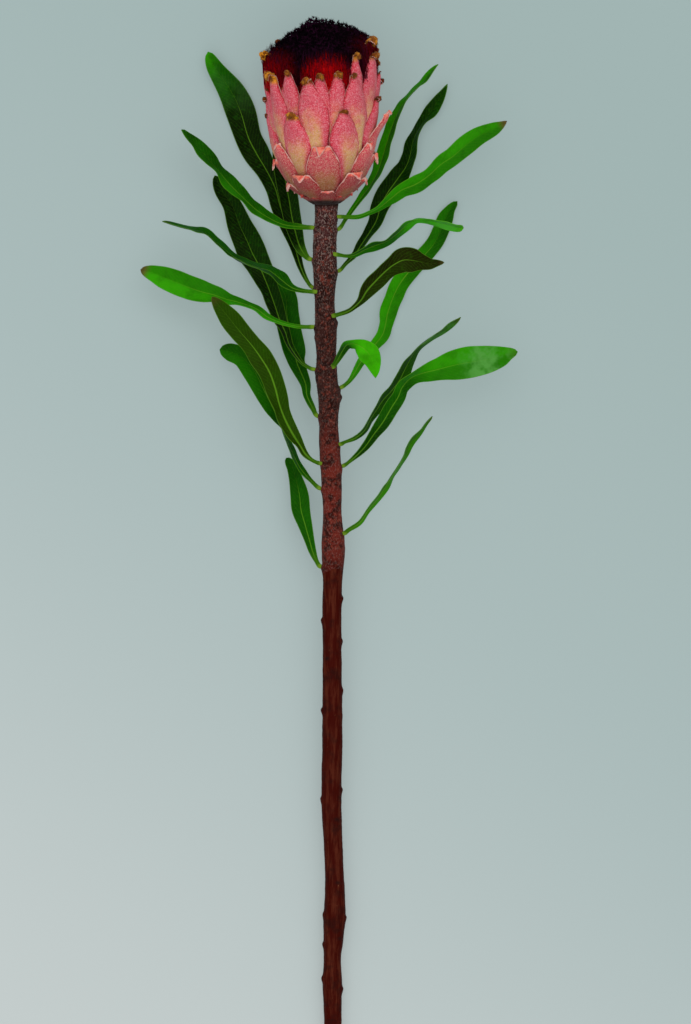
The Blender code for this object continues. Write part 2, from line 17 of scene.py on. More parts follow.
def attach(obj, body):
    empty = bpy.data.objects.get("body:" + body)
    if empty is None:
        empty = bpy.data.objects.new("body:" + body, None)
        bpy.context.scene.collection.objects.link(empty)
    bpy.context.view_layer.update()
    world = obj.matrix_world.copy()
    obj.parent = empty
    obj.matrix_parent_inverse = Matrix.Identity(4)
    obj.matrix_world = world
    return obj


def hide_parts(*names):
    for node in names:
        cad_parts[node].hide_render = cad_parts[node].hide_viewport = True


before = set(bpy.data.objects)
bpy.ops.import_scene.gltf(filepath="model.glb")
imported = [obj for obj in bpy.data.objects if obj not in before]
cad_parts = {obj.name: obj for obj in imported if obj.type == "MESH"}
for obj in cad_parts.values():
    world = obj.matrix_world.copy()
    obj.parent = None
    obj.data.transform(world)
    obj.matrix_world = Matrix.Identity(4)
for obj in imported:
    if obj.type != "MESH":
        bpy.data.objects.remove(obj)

bl_info = {
    "name": "Protea flower",
    "version": (1, 0, 0),
    "blender": (4, 5, 0),
    "location": "3D View > Sidebar > Protea",
    "description": "Builds a protea in flower on its leafy cut stem",
    "category": "Add Mesh",
}

MM = 0.001
BODY = "root"

# Stem
CUT_END_Y = -310.0
CUT_END_Z = 5.4
NECK_Y = 198.0
NECK_Z = 26.7
WOOL_END_Y = -22.5
STEM_AROUND = 56
STEM_ALONG = 600

# Flower head. A place on it is a height up its own axis, an azimuth and a radius.
# Azimuth 0 faces straight up when the flower lies down, and 90 faces +X.
HEAD_FOOT = (-1.2, NECK_Y, NECK_Z)
HEAD_RISE = 8.5
HEAD_LEAN = -2.6
BRACT_PITCH = 1.5
BRACT_ACROSS = 20
BRACT_ALONG = 50
BODY_SHARE = 0.66
FLOOR_GAP = 0.7

# Leaves
LEAF_ACROSS = 20
LEAF_ALONG = 100
PETIOLE_SHARE = 0.13
LEAF_FOLD = 0.10
TIP_SHARE = 0.07

# Stage
FLOOR_GLOW = 0.5

GOLDEN_TURN = math.pi * (3.0 - math.sqrt(5.0))

Station = namedtuple("Station", "y x radius")
Scar = namedtuple("Scar", "y azimuth rise dark")
Bract = namedtuple("Bract", "foot_azimuth tip_azimuth tip width flare curl gilt", defaults=(1.0, 0.4))
Fold = namedtuple("Fold", "length turn bend point crumple horn", defaults=(0.0,))
Planted = namedtuple("Planted", "name row bract depth seed felt raised")
Row = namedtuple("Row", "name foot outline fold bracts")
Leaf = namedtuple("Leaf", "name root_y side tone tip_tone dry path olive turn shine", defaults=(0.0, 0.7, 0.0))

# The stem's middle line and radius, from the cut end to the neck.
STEM = (
    Station(CUT_END_Y, 2.4, 5.3),
    Station(-290, 2.5, 5.3),
    Station(-267, 2.2, 5.8),
    Station(-256, 2.3, 5.2),
    Station(-246, 2.8, 5.9),
    Station(-230, 3.6, 6.6),
    Station(-214, 3.8, 5.9),
    Station(-197, 3.2, 5.7),
    Station(-160, 1.8, 6.0),
    Station(-125, 2.3, 6.1),
    Station(-76, 2.2, 5.7),
    Station(-42, 2.1, 5.8),
    Station(-23, 2.6, 6.1),
    Station(-14, 2.9, 6.9),
    Station(-5, 2.8, 7.0),
    Station(7, 2.5, 5.8),
    Station(36, 1.6, 6.2),
    Station(52, 0.6, 6.2),
    Station(67, 0.0, 5.7),
    Station(82, 0.3, 6.6),
    Station(92, -0.9, 6.5),
    Station(107, -1.3, 6.0),
    Station(124, -1.6, 6.6),
    Station(140, -2.3, 5.9),
    Station(157, -2.1, 7.1),
    Station(176, -2.2, 7.0),
    Station(191, -1.4, 6.7),
)

# The outside of the closed head: height up its axis, radius.
ENVELOPE = (
    (0.0, 7.0),
    (3.0, 11.0),
    (6.0, 15.2),
    (10.0, 20.0),
    (14.0, 23.4),
    (20.0, 27.0),
    (26.0, 29.7),
    (32.0, 31.4),
    (38.0, 32.6),
    (50.0, 34.0),
    (62.0, 34.7),
    (74.0, 35.1),
    (86.0, 35.3),
    (92.0, 34.8),
    (97.0, 32.8),
    (101.0, 29.8),
    (104.5, 25.5),
    (107.5, 20.0),
    (110.0, 12.5),
    (111.5, 4.0),
)

# Rows of bracts from the outside in. An outline gives the share of the bract's length and
# the share of its greatest width there. A fold is how a row's tips turn back on themselves:
# the folded length, how far it turns, the share of it that the bend takes, how pointed it is
# and how crumpled. A bract is its azimuth at the foot and at the tip, the height of its tip,
# its greatest width, how far its tip stands out, how long its fold is against its row's and
# how golden, from 0 to 1, its tip is.
ROWS = (
    Row(
        "scale",
        3.0,
        ((0.0, 0.55), (0.35, 0.95), (0.6, 1.0), (0.85, 0.9), (1.0, 0.72)),
        Fold(5.6, 168, 0.4, 0.7, 0.4, 0.8),
        (
            Bract(-31, -33, 20, 18, 1.2, 1.0, 0.85),
            Bract(46, 42, 20, 18, 1.2, 1.0, 0.85),
            Bract(96, 76, 14.5, 15, 0.7, 0.75, 0.7),
            Bract(174, 174, 16, 16, 0.0, 1.0, 0.6),
            Bract(-104, -72, 13.5, 15, 0.7, 0.75, 0.7),
        ),
    ),
    Row(
        "outer",
        6.0,
        ((0.0, 0.38), (0.3, 0.9), (0.5, 1.0), (0.76, 0.88), (0.93, 0.62), (1.0, 0.5)),
        Fold(7.6, 168, 0.36, 0.7, 0.4, 1.1),
        (
            Bract(1, -3, 37.6, 22.5, 0.8, 0.95, 0.9),
            Bract(61, 57, 37, 20.5, 0.6, 0.6, 0.7),
            Bract(-61, -57, 39, 19, 0.6, 0.5, 0.7),
            Bract(104, 78, 29, 16.5, 0.9, 0.8, 0.9),
            Bract(-104, -74, 28, 16.5, 0.9, 0.8, 0.8),
            Bract(178, 178, 33, 21, 0.0, 1.0, 0.6),
        ),
    ),
    Row(
        "lower",
        9.0,
        ((0.0, 0.25), (0.3, 0.55), (0.62, 1.0), (0.81, 0.8), (0.92, 0.52), (1.0, 0.34)),
        Fold(6.2, 200, 1.0, 2.2, 0.7),
        (
            Bract(-37, -32, 59, 20.5, 0.6, 1.15, 0.95),
            Bract(33, 21, 59.5, 20.5, 0.5, 0.8, 0.3),
            Bract(84, 74, 55, 19, 6.0, 0.8, 0.9),
            Bract(-68, -82, 56, 18, -1.6, 0.7, 0.1),
            Bract(-143, -143, 57, 18, 0.4),
            Bract(147, 147, 55, 18, 0.4),
        ),
    ),
    Row(
        "middle",
        12.0,
        ((0.0, 0.28), (0.35, 0.55), (0.66, 1.0), (0.78, 0.9), (0.88, 0.62), (0.95, 0.37), (1.0, 0.25)),
        Fold(8.0, 235, 1.0, 2.4, 0.9),
        (
            Bract(-50, -54, 83, 17, 0.6, 1.5, 1.0),
            Bract(-2, -13, 80, 20.5, 0.6, 1.0, 0.55),
            Bract(51, 34, 81, 18.5, 0.6, 0.9, 0.35),
            Bract(62, 75, 64, 19, 0.4, 0.9, 0.15),
            Bract(96, 97, 73, 18, 0.3, 0.8, 0.05),
            Bract(151, 151, 76, 18, 0.4),
            Bract(-157, -157, 79, 18, 0.4),
            Bract(-84, -84, 66, 20, -0.8, 0.8, 0.3),
        ),
    ),
    Row(
        "upper",
        15.0,
        ((0.0, 0.42), (0.4, 0.75), (0.7, 1.0), (0.86, 0.88), (0.95, 0.54), (1.0, 0.34)),
        Fold(7.6, 225, 1.0, 2.4, 0.9),
        (
            Bract(-38, -35, 84, 13, 0.6, 0.9, 0.45),
            Bract(-1, -1, 82, 11, 0.4, 1.2, 0.4),
            Bract(17, 17, 82.5, 12, 0.5, 1.1, 0.5),
            Bract(42, 38, 92.5, 10.5, 0.4, 0.9, 0.7),
            Bract(66, 67, 91, 21, 0.6, 1.1, 0.5),
            Bract(124, 124, 95, 15, 0.6),
            Bract(-152, -152, 93, 15, 0.4),
            Bract(-88, -71, 94.0, 18, -2.0, 1.4, 1.0),
        ),
    ),
    Row(
        "inner",
        18.0,
        ((0.0, 0.32), (0.4, 0.75), (0.75, 1.0), (0.9, 0.85), (1.0, 0.4)),
        Fold(2.0, 20, 1.0, 1.6, 0.2),
        (
            Bract(4, 6, 91, 30, 0.0),
            Bract(65, 65, 97, 29, 0.0),
            Bract(-65, -65, 91, 31, 0.0),
            Bract(140, 140, 97, 31, 0.0),
            Bract(-140, -140, 97, 31, 0.0),
        ),
    ),
)


# Leaves. root_y is the height on the stem and side the way round it, from straight up. tone
# and tip_tone go from -1, darkest, to 1, brightest: partly the leaf's own green and partly
# painted light and shade, brighter where a blade faces the light and darker where it faces
# away. dry says how brown the tip is. Then come points of the midrib from the petiole to the
# tip: x, y, z, the blade's width, and its roll, where 0 lies face up and 90 stands on edge.
# Last come how olive the leaf is, the share of its length where it takes its tip's tone, and
# how pale the sheen near its tip is.
LEAVES = (
    Leaf("leaf_left_1", 183.5, -72, 0.25, 0.05, 0, (
        (-20, 184, 31, 5, 45),
        (-28.5, 185.5, 31, 6.5, 45),
        (-36.5, 189.5, 30, 9, 50),
        (-44, 194.5, 29, 11, 50),
        (-52, 202, 27.5, 12, 55),
        (-59, 209, 26, 12.5, 45),
        (-64, 215, 25, 12.5, 55),
        (-68.5, 220.5, 24.5, 12, 60),
        (-74.5, 227.5, 24, 11.5, 45),
        (-80, 234, 24, 9, 45),
        (-85, 239, 25.5, 5.5, 45),
        (-88, 242.5, 26, 5, 45),
    )),
    Leaf("leaf_left_2", 164.5, -92, -0.85, -0.8, 0, (
        (-13.5, 166.5, 23.5, 4, 0),
        (-17.5, 173, 21, 7, 0),
        (-20.5, 183.5, 15.5, 10, 0),
        (-22.5, 193, 11.5, 11, 0),
        (-24, 202, 9, 11.5, 0),
        (-26, 212, 6.5, 11.5, 0),
        (-28.5, 224, 4.5, 10, 0),
        (-29.5, 234.5, 3.5, 8.5, 0),
        (-30, 245, 2.6, 5, 0),
    )),
    Leaf("leaf_left_3", 147.5, -108, -1.15, 0.6, 0, (
        (-13, 152, 19, 3, 0),
        (-17, 161, 14, 4, 0),
        (-20.5, 173.5, 9.5, 6.5, 0),
        (-24.5, 185, 6, 9.5, 0),
        (-29, 196.5, 3.5, 11, 0),
        (-32, 207.5, 1.9, 11.5, 0),
        (-37, 218, 1.3, 12.5, 0),
        (-43.5, 229, 0.6, 16, 0),
        (-48.5, 239, 0.5, 16, 0),
        (-53, 254, 0.5, 18, 0),
        (-58.5, 266, 1.9, 16, 0),
        (-68.5, 280.5, 5.5, 10, 0),
        (-72.5, 289.8, 8, 9, 0),
    ), 0.0, 0.86, 0.15),
    Leaf("leaf_left_4", 145, -48, -0.2, -0.1, 0.2, (
        (-16, 145.5, 31, 3.5, 40),
        (-22.5, 147.5, 31, 5.5, 40),
        (-29, 152.5, 30.5, 12, 50),
        (-35.5, 157.5, 29.5, 12, 60),
        (-42.5, 159.5, 28.5, 11.5, 75),
        (-53, 163.5, 27.5, 11.5, 75),
        (-59.5, 168, 27, 11, 70),
        (-67, 174.5, 27.5, 10, 70),
        (-74, 180.5, 27.5, 9, 65),
        (-79.5, 182, 28, 8, 65),
        (-86.5, 183.5, 28.5, 6.5, 75),
        (-93.5, 185.5, 29, 5, 70),
        (-99.5, 187.5, 29.5, 3, 65),
    )),
    Leaf("leaf_left_5", 124, -82, 0.4, 0.5, 1, (
        (-17, 124, 26, 3, 35),
        (-23.5, 125, 27, 3.5, 45),
        (-30.5, 127, 27.5, 4, 45),
        (-37, 130, 28, 5, 40),
        (-43, 134.5, 28, 6, 50),
        (-49, 137, 27.5, 7, 55),
        (-55.5, 139, 26.5, 8.5, 50),
        (-61.5, 140.5, 26, 10, 45),
        (-68.5, 143, 25, 12, 30),
        (-76, 145, 24, 14, 15),
        (-84.5, 148, 22.5, 14.5, 0),
        (-92, 151, 21.5, 14.5, 0),
        (-99.5, 154, 20.5, 13, 0),
        (-106, 156.5, 19.5, 9.5, 0),
        (-113, 158.5, 18, 7, 0),
    )),
    Leaf("leaf_left_6", 98.5, -88, -0.85, -0.85, 0, (
        (-12.5, 100, 21, 3, 35),
        (-17.5, 104, 18, 3.5, 40),
        (-23.5, 113, 13.5, 5.5, 45),
        (-26, 120.5, 11.5, 7, 40),
        (-29.5, 128.5, 9, 9, 25),
        (-32.5, 137.5, 7, 11, 25),
        (-36.5, 148.5, 5.5, 12.5, 20),
        (-41.5, 160.5, 4, 15, 0),
        (-46, 169, 3, 17.5, 0),
        (-49, 176, 2.5, 17, 0),
        (-53.5, 185.5, 2.3, 15, 0),
        (-58, 197.5, 2.5, 11.5, 0),
        (-64, 206, 3, 9, 0),
        (-68.5, 215.5, 4.5, 7.5, 0),
    )),
    Leaf("leaf_left_7", 70.5, -98, -0.05, 0.0, 0, (
        (-9.5, 75.5, 17, 3.5, 0),
        (-13, 83, 13, 4.5, 0),
        (-14, 90.5, 10.5, 6.5, 0),
        (-19, 102.5, 7, 10, 0),
        (-20.5, 110, 5.5, 13.5, 0),
        (-23, 120.5, 3.5, 14, 0),
        (-25, 131.5, 1.8, 14.5, 0),
        (-26, 143, 0.9, 13, 0),
        (-31, 152.5, 0.5, 8.5, 0),
        (-35, 160.5, 0.5, 7, 0),
    )),
    Leaf("leaf_left_8", 42, -55, -0.15, -0.05, 0.3, (
        (-10, 44, 28.5, 3, 35),
        (-14, 47.5, 29.5, 4.5, 35),
        (-17.5, 53, 30, 6.5, 45),
        (-21.5, 59.5, 30.5, 8.5, 20),
        (-26, 68, 30.5, 10, 25),
        (-29.5, 77, 31, 12, 35),
        (-32, 87.5, 31, 12.5, 0),
        (-35.5, 97, 31, 13, 0),
        (-41, 106, 31, 14, 0),
        (-46.5, 113.5, 31, 12, 0),
        (-53, 121, 31, 12.5, 0),
        (-59, 128.5, 31, 12.5, 0),
        (-65, 136, 31, 8.5, 0),
        (-70, 142, 31, 5.5, 0),
    ), 0.9),
    Leaf("leaf_left_9", 27, -92, 0.05, 0.2, 0, (
        (-10.5, 31.5, 19, 3.5, 50),
        (-15.5, 37, 19, 5, 40),
        (-18.5, 41.5, 19, 6, 50),
        (-22, 49, 19, 8, 65),
        (-26, 58, 19, 8, 75),
        (-28, 64, 19, 8.5, 65),
        (-31, 70, 19, 9.5, 40),
        (-35, 78.5, 18.5, 11, 0),
        (-40, 88.5, 17.5, 13, 0),
        (-44.5, 97.5, 16.5, 14.5, 0),
        (-51.5, 105.5, 15, 12, 0),
        (-59, 109, 14, 11, 0),
        (-65.5, 110.5, 13.5, 9.5, 0),
    )),
    Leaf("leaf_left_10", -20, -90, 0.0, -0.05, 0, (
        (-7, -17, 17, 2.5, 0),
        (-9.5, -11, 16, 4.5, 0),
        (-11.5, -4, 15, 6, 0),
        (-14, 5, 14, 8.5, 0),
        (-16.5, 14, 12.5, 11, 0),
        (-17.5, 23, 11, 11, 0),
        (-19.5, 32, 9, 8.5, 0),
        (-22, 40, 7.5, 6.5, 0),
        (-25.5, 45.5, 6.5, 5.5, 0),
    )),
    Leaf("leaf_right_1", 182.5, 100, 0.45, 0.35, 0.1, (
        (10, 188, 24, 3, -35),
        (15.5, 196, 21.5, 4, -40),
        (20, 202, 19.5, 5.5, -50),
        (25.5, 209.5, 18, 8, -55),
        (29.5, 217, 17, 9.5, -50),
        (32.5, 226, 16.5, 10, -45),
        (35, 234.5, 17, 10, -45),
        (37.5, 242.5, 18, 9.5, -45),
        (41, 251.5, 19.5, 9, -60),
        (44.5, 257.5, 21.5, 8.5, -60),
        (49, 263.5, 23, 7, -75),
        (54.5, 269, 25.5, 6, -70),
        (58, 272.5, 27, 5.5, -50),
        (61.5, 277, 28, 4, -40),
        (65.5, 281.5, 30, 2.5, -40),
    )),
    Leaf("leaf_right_2", 157.5, 100, -0.75, -0.6, 0, (
        (10.5, 162, 19.5, 3.5, -45),
        (16, 167.5, 15.5, 5, -40),
        (19.5, 173, 13, 6.5, -40),
        (25, 181.5, 9, 8.5, -40),
        (29, 188.5, 6.5, 10, -30),
        (31.5, 197, 4, 12, -20),
        (35.5, 205, 2.1, 13, 0),
        (41.5, 213.5, 1, 12.5, 0),
        (46.5, 220.5, 3.5, 11.5, -30),
        (49, 227, 4, 11, -40),
        (50.5, 234.5, 4, 10, -45),
        (53, 241.5, 4, 9, -55),
        (57.5, 248.5, 3.5, 8.5, -50),
        (62, 254.5, 3.5, 8.5, -20),
        (65.5, 260, 5, 7, 0),
        (69, 265.5, 6.5, 4.5, 0),
        (71.5, 270.5, 7.5, 2.5, 0),
    )),
    Leaf("leaf_right_3", 190, 72, 0.42, 0.35, 1, (
        (17, 190, 31.5, 3.5, 45),
        (24.5, 192.5, 32, 4, 50),
        (30.5, 195.5, 32.5, 5.5, 55),
        (37.5, 201, 33, 8, 35),
        (44, 206, 33.5, 9.5, 30),
        (52.5, 209.5, 34, 11, 20),
        (60.5, 215, 34, 11, 35),
        (67, 221, 33.5, 11.5, 25),
        (74.5, 226, 33, 11, 0),
        (82, 232.5, 32, 12, 0),
        (89.5, 238, 31, 11, 0),
        (98, 242, 30, 8.5, 0),
        (103.5, 245, 28.5, 5.5, 0),
        (107, 247.5, 28, 3, 0),
    )),
    Leaf("leaf_right_4", 167.5, 45, 0.15, 0.8, 0.2, (
        (10, 166.5, 33, 2.5, 40),
        (15.5, 167, 34.5, 4, 45),
        (21.5, 170, 36, 6, 55),
        (27.5, 172.5, 37, 8, 50),
        (34.5, 175, 38, 9, 65),
        (41, 179.5, 38.5, 9, 60),
        (47, 185, 38.5, 9, 60),
        (52.5, 188, 38.5, 9, 75),
        (58, 188, 38, 8.5, 75),
        (64, 186.5, 37.5, 8.5, 65),
        (71, 185, 36.5, 8.5, 60),
        (77, 183.5, 35.5, 8, 55),
        (81, 183, 35, 8, 35),
    ), 0.0, 0.6, 0.5),
    Leaf("leaf_right_5", 87.5, 96, 0.5, 0.15, 0, (
        (13, 92.5, 16.5, 3.5, 35),
        (19.5, 103.5, 11, 5.5, 25),
        (26, 111.5, 7.5, 6.5, 25),
        (32, 119, 5, 8.5, 25),
        (34, 125, 3.5, 9.5, 30),
        (35.5, 132.5, 2.4, 11, 20),
        (38.5, 141.5, 3, 11.5, 25),
        (43, 150.5, 0.6, 11, 0),
        (50, 159.5, 0.5, 11, 0),
        (59, 169, 0.5, 10, 0),
        (64.5, 176, 0.8, 10, 0),
        (68, 183.5, 1.3, 10, 0),
        (70.5, 190, 2, 9.5, 0),
        (73.5, 195.5, 2.8, 6.5, 0),
        (77.5, 200, 3.5, 6, 0),
    )),
    Leaf("leaf_right_6", 130.5, 38, -0.75, -1.0, 0.4, (
        (11, 133, 35.5, 3, 35),
        (15.5, 136, 37.5, 4, 40),
        (19.5, 140, 39, 6.5, 40),
        (23, 145.5, 41, 9.5, 25),
        (28, 151, 43, 11.5, 25),
        (33.5, 156.5, 44, 12, 30),
        (38.5, 160.5, 45, 12.5, 25),
        (44.5, 163.5, 44.5, 15, 0),
        (50, 163.5, 43, 14.5, 0),
        (55.5, 162.5, 40.5, 10, 0),
        (60.5, 161.5, 38, 7, 0),
        (64.5, 162, 36, 4.5, 0),
        (69.5, 162.5, 33, 2.5, 0),
    ), 0.7),
    Leaf("leaf_right_7", 100, 30, -0.1, 1.1, 0.1, (
        (5, 103.5, 33.5, 3.5, 25),
        (8, 109, 38, 5.5, 35),
        (11, 113, 42, 7, 45),
        (15.5, 113.5, 45, 8, 50),
        (20, 111.5, 46, 10.5, 15),
        (23.5, 108.3, 45.5, 13, 0),
        (26.3, 103.8, 43.5, 10.5, 0),
        (27.7, 98.5, 41, 6.5, 0),
        (28.2, 93, 38.5, 1.5, 0),
    ), 0.1, 0.5),
    Leaf("leaf_right_8", 53.5, 62, 0.0, 0.1, 0.3, (
        (10, 55, 26.5, 2.5, 40),
        (16, 57.5, 27.5, 3.5, 40),
        (21.5, 62, 27, 5, 55),
        (25, 68.5, 26.5, 6, 60),
        (28.5, 74, 26, 7, 55),
        (32.5, 80, 25, 8.5, 50),
        (37.5, 85.5, 24, 9.5, 50),
        (42.5, 92, 23.5, 10, 40),
        (45.5, 98, 23, 10, 45),
        (49, 104.5, 23, 9.5, 60),
        (53, 110.5, 23, 8.5, 70),
        (59.5, 116, 23.5, 7, 80),
        (67, 120.5, 24.5, 6, 65),
        (73, 125, 25, 5, 45),
        (79.5, 129.5, 26, 2.5, 40),
    ), 0.4, 0.7, 0.5),
    Leaf("leaf_right_9", 40.5, 84, -0.5, 0.42, 0.2, (
        (13, 43.5, 24, 2.5, 0),
        (18.5, 48.5, 27, 4, 30),
        (22.5, 53, 29.5, 5.5, 25),
        (27.3, 59.8, 32, 7, 25),
        (32.8, 67, 34, 8.5, 0),
        (37.8, 75.5, 36, 9, 0),
        (41.8, 82, 37.5, 9, 20),
        (44, 87.5, 38, 9.5, 35),
        (49, 93, 38, 11, 50),
        (56, 96, 38, 11.5, 40),
        (64.5, 98, 37.5, 13, 0),
        (74, 100.5, 36, 17.5, 0),
        (83.5, 102.5, 34.5, 19, 0),
        (93.5, 104, 32.5, 17, 0),
        (102.5, 106, 30.5, 13, 0),
        (108.5, 108, 29, 8.5, 0),
        (113.5, 109, 27.5, 7, 0),
    ), 0.0, 0.42, 1.0),
    Leaf("leaf_right_10", 0, 60, 0.5, 0.4, 0.3, (
        (12.5, 2.5, 24.5, 3, 35),
        (19, 7, 26, 4, 50),
        (23.5, 14, 27, 5.5, 60),
        (28.5, 20, 28, 6.5, 65),
        (32, 25, 28, 7, 65),
        (35, 29.5, 28.5, 8, 65),
        (38.5, 35, 29, 8, 80),
        (41.5, 39.5, 29.5, 8, 80),
        (45, 45.5, 29.5, 7, 75),
        (47.5, 51.5, 30, 7, 60),
        (50.5, 56, 30.5, 6.5, 55),
        (55, 61, 31, 5.5, 65),
        (59, 66.5, 31, 4, 70),
        (62.5, 70, 31.5, 2.5, 60),
    ), 0.6),
)




# Small scars and buds on the stem: height, azimuth from straight up, how far it stands out
# and how dark it is.
SCARS = (
    Scar(126.9, 88, 1.0, 0.4),
    Scar(117.9, -90, 0.7, 0.4),
    Scar(93.3, -90, 0.5, 0.3),
    Scar(82.0, 95, 1.3, 0.6),
    Scar(-4.0, 30, 0.5, 0.2),
    Scar(-22.5, -60, 0.3, 0.8),
    Scar(-38.7, 80, 1.1, 0.9),
    Scar(-51.9, -90, 1.0, 0.5),
    Scar(-64.5, 92, 0.8, 0.5),
    Scar(-76.0, -32, 0.4, 1.0),
    Scar(-93.9, 90, 0.7, 0.4),
    Scar(-105.9, -88, 1.2, 0.6),
    Scar(-128.0, 150, 0.9, 0.5),
    Scar(-153.9, 92, 0.8, 0.4),
    Scar(-159.3, -90, 0.8, 0.4),
    Scar(-172.8, 29, 0.5, 1.0),
    Scar(-188.0, -140, 0.9, 0.6),
    Scar(-210.9, 20, 0.5, 1.0),
    Scar(-229.0, -88, 0.7, 0.4),
    Scar(-231.0, 90, 0.8, 0.4),
    Scar(-244.5, 39, 0.5, 0.9),
    Scar(-246.9, -90, 0.9, 0.4),
    Scar(-267.3, -88, 0.9, 0.5),
    Scar(-273.9, 90, 0.9, 0.4),
    Scar(-289.0, 180, 0.8, 0.5),
    Scar(30.0, -150, 0.8, 0.4),
    Scar(60.0, 170, 0.8, 0.4),
    Scar(110.0, 160, 0.8, 0.4),
)

# Bracts that are too small or too well hidden to be bodies of their own: round the very
# base, under the florets, and inside the rows of pink ones.
BASE_ROW = Row(
    "base",
    0.4,
    ((0.0, 0.75), (0.4, 1.0), (0.75, 0.95), (1.0, 0.7)),
    Fold(2.2, 165, 0.5, 1.0, 0.1, 0.3),
    (
        Bract(3, 2, 9.6, 11, 0.8),
        Bract(34, 33, 5.6, 8, 0.2, 0.3),
        Bract(-31, -30, 5.6, 8, 0.2, 0.3),
        Bract(68, 68, 6.2, 10, 0.3, 0.4),
        Bract(-66, -66, 6.2, 10, 0.3, 0.4),
        Bract(112, 112, 8.5, 12, 0.8),
        Bract(-108, -108, 8.5, 12, 0.8),
        Bract(148, 148, 9, 12, 0.6),
        Bract(-146, -146, 8.5, 12, 0.6),
        Bract(180, 180, 9.5, 12, 0.4),
    ),
)
RIM_ROW = Row(
    "rim",
    40.0,
    ((0.0, 0.5), (0.5, 0.9), (0.75, 1.0), (0.9, 0.75), (1.0, 0.5)),
    Fold(8.0, 225, 1.0, 2.4, 0.9),
    (
        Bract(80, 73, 100.0, 12, -1.6, 1.6, 0.9),
        Bract(104, 100, 92, 11, -2.0, 1.0, 0.2),
        Bract(-118, -112, 98.5, 12, -7.0, 0.8, 0.2),
        Bract(150, 150, 98, 13, 0.6),
        Bract(178, 178, 96, 14, 0.4),
        Bract(-172, -172, 84, 14, 0.6),
        Bract(132, 132, 86, 14, 0.8),
        Bract(106, 106, 84, 14, 0.5),
    ),
)
SIDE_ROW = Row(
    "side",
    14.0,
    ((0.0, 0.4), (0.4, 0.75), (0.7, 1.0), (0.9, 0.75), (1.0, 0.35)),
    Fold(4.0, 90, 1.0, 2.0, 0.4),
    (
        Bract(-70, -72, 72, 18, 0.0, 0.6, 0.1),
        Bract(88, 88, 78, 20, 0.0, 0.6, 0.1),
        Bract(-108, -106, 80, 20, 0.0, 0.6, 0.1),
        Bract(112, 114, 82, 20, 0.0, 0.6, 0.1),
        Bract(-128, -126, 70, 18, 0.0, 0.6, 0.1),
        Bract(130, 130, 68, 18, 0.0, 0.6, 0.1),
    ),
)
LINING_ROW = Row(
    "lining",
    16.0,
    ((0.0, 0.4), (0.4, 0.75), (0.7, 1.0), (0.9, 0.75), (1.0, 0.35)),
    Fold(1.5, 0, 1.0, 2.0, 0.0),
    tuple(Bract(azimuth, azimuth, 75 if abs(azimuth) < 50 else 86, 27, 0.0) for azimuth in range(-160, 200, 40)),
)

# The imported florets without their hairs: height up the head's axis, radius, and how much
# further out they are to the right than to the left.
DOME = (
    (23.0, 9.0, 0.0),
    (40.0, 20.0, 0.0),
    (60.0, 25.0, 0.0),
    (76.0, 28.0, 0.0),
    (86.0, 29.6, 0.4),
    (91.0, 29.8, 1.2),
    (95.0, 28.2, 2.6),
    (98.4, 25.0, 3.4),
    (101.4, 20.8, 3.8),
    (104.0, 16.0, 4.0),
    (106.4, 10.4, 3.2),
    (108.2, 5.4, 1.4),
    (109.2, 0.0, 0.0),
)


def tint(red, green, blue):
    """A colour picked on the screen, 0 to 255, as Blender's linear one."""
    shares = (red / 255, green / 255, blue / 255)
    return tuple(c / 12.92 if c <= 0.04045 else ((c + 0.055) / 1.055) ** 2.4 for c in shares)


def length(name, default, description):
    return bpy.props.FloatProperty(
        name=name, default=default, min=0.0, unit="LENGTH", precision=5, description=description
    )


def colour(name, default, description):
    return bpy.props.FloatVectorProperty(
        name=name, size=3, default=tint(*default), min=0.0, max=1.0, subtype="COLOR",
        description=description,
    )


# Shapes


def smooth_step(x):
    """0 up to 0, 1 from 1, and a smooth rise between."""
    x = np.clip(x, 0.0, 1.0)
    return x * x * (3.0 - 2.0 * x)


def smooth_curve(table):
    """Reads a table of (place, value) along a smooth curve through its points."""
    places, values = (np.array(column, float) for column in zip(*table))
    slopes = np.gradient(values, places)
    fine = np.linspace(places[0], places[-1], 600)
    at = np.clip(np.searchsorted(places, fine, "right") - 1, 0, len(places) - 2)
    span = places[at + 1] - places[at]
    t = (fine - places[at]) / span
    curve = (
        (1 + 2 * t) * (1 - t) ** 2 * values[at]
        + t * (1 - t) ** 2 * span * slopes[at]
        + t * t * (3 - 2 * t) * values[at + 1]
        + t * t * (t - 1) * span * slopes[at + 1]
    )
    return lambda place: np.interp(place, fine, curve)


def curve_point(before, start, end, after, t):
    """A point of the smooth curve that runs through all four, between start and end."""
    return [
        0.5 * (
            2 * b
            + (c - a) * t
            + (2 * a - 5 * b + 4 * c - d) * t * t
            + (3 * b - a - 3 * c + d) * t * t * t
        )
        for a, b, c, d in zip(before, start, end, after)
    ]


def smooth_through(points, count, steps=12):
    """count rows, evenly spaced along the smooth curve through the points."""
    ends = [points[0], *points, points[-1]]
    fine = [
        curve_point(*ends[i : i + 4], step / steps)
        for i in range(len(points) - 1)
        for step in range(steps)
    ]
    fine.append(list(points[-1]))
    fine = np.array(fine)
    reach = np.concatenate([[0], np.cumsum(np.linalg.norm(np.diff(fine[:, :3], axis=0), axis=1))])
    wanted = np.linspace(0, reach[-1], count)
    rows = np.stack([np.interp(wanted, reach, column) for column in fine.T], axis=1)
    return rows, wanted


def unit(vectors):
    return vectors / np.maximum(np.linalg.norm(vectors, axis=-1, keepdims=True), 1e-9)


def stem_z(y):
    """The height of the stem's middle line."""
    return CUT_END_Z + (NECK_Z - CUT_END_Z) * (y - CUT_END_Y) / (NECK_Y - CUT_END_Y)


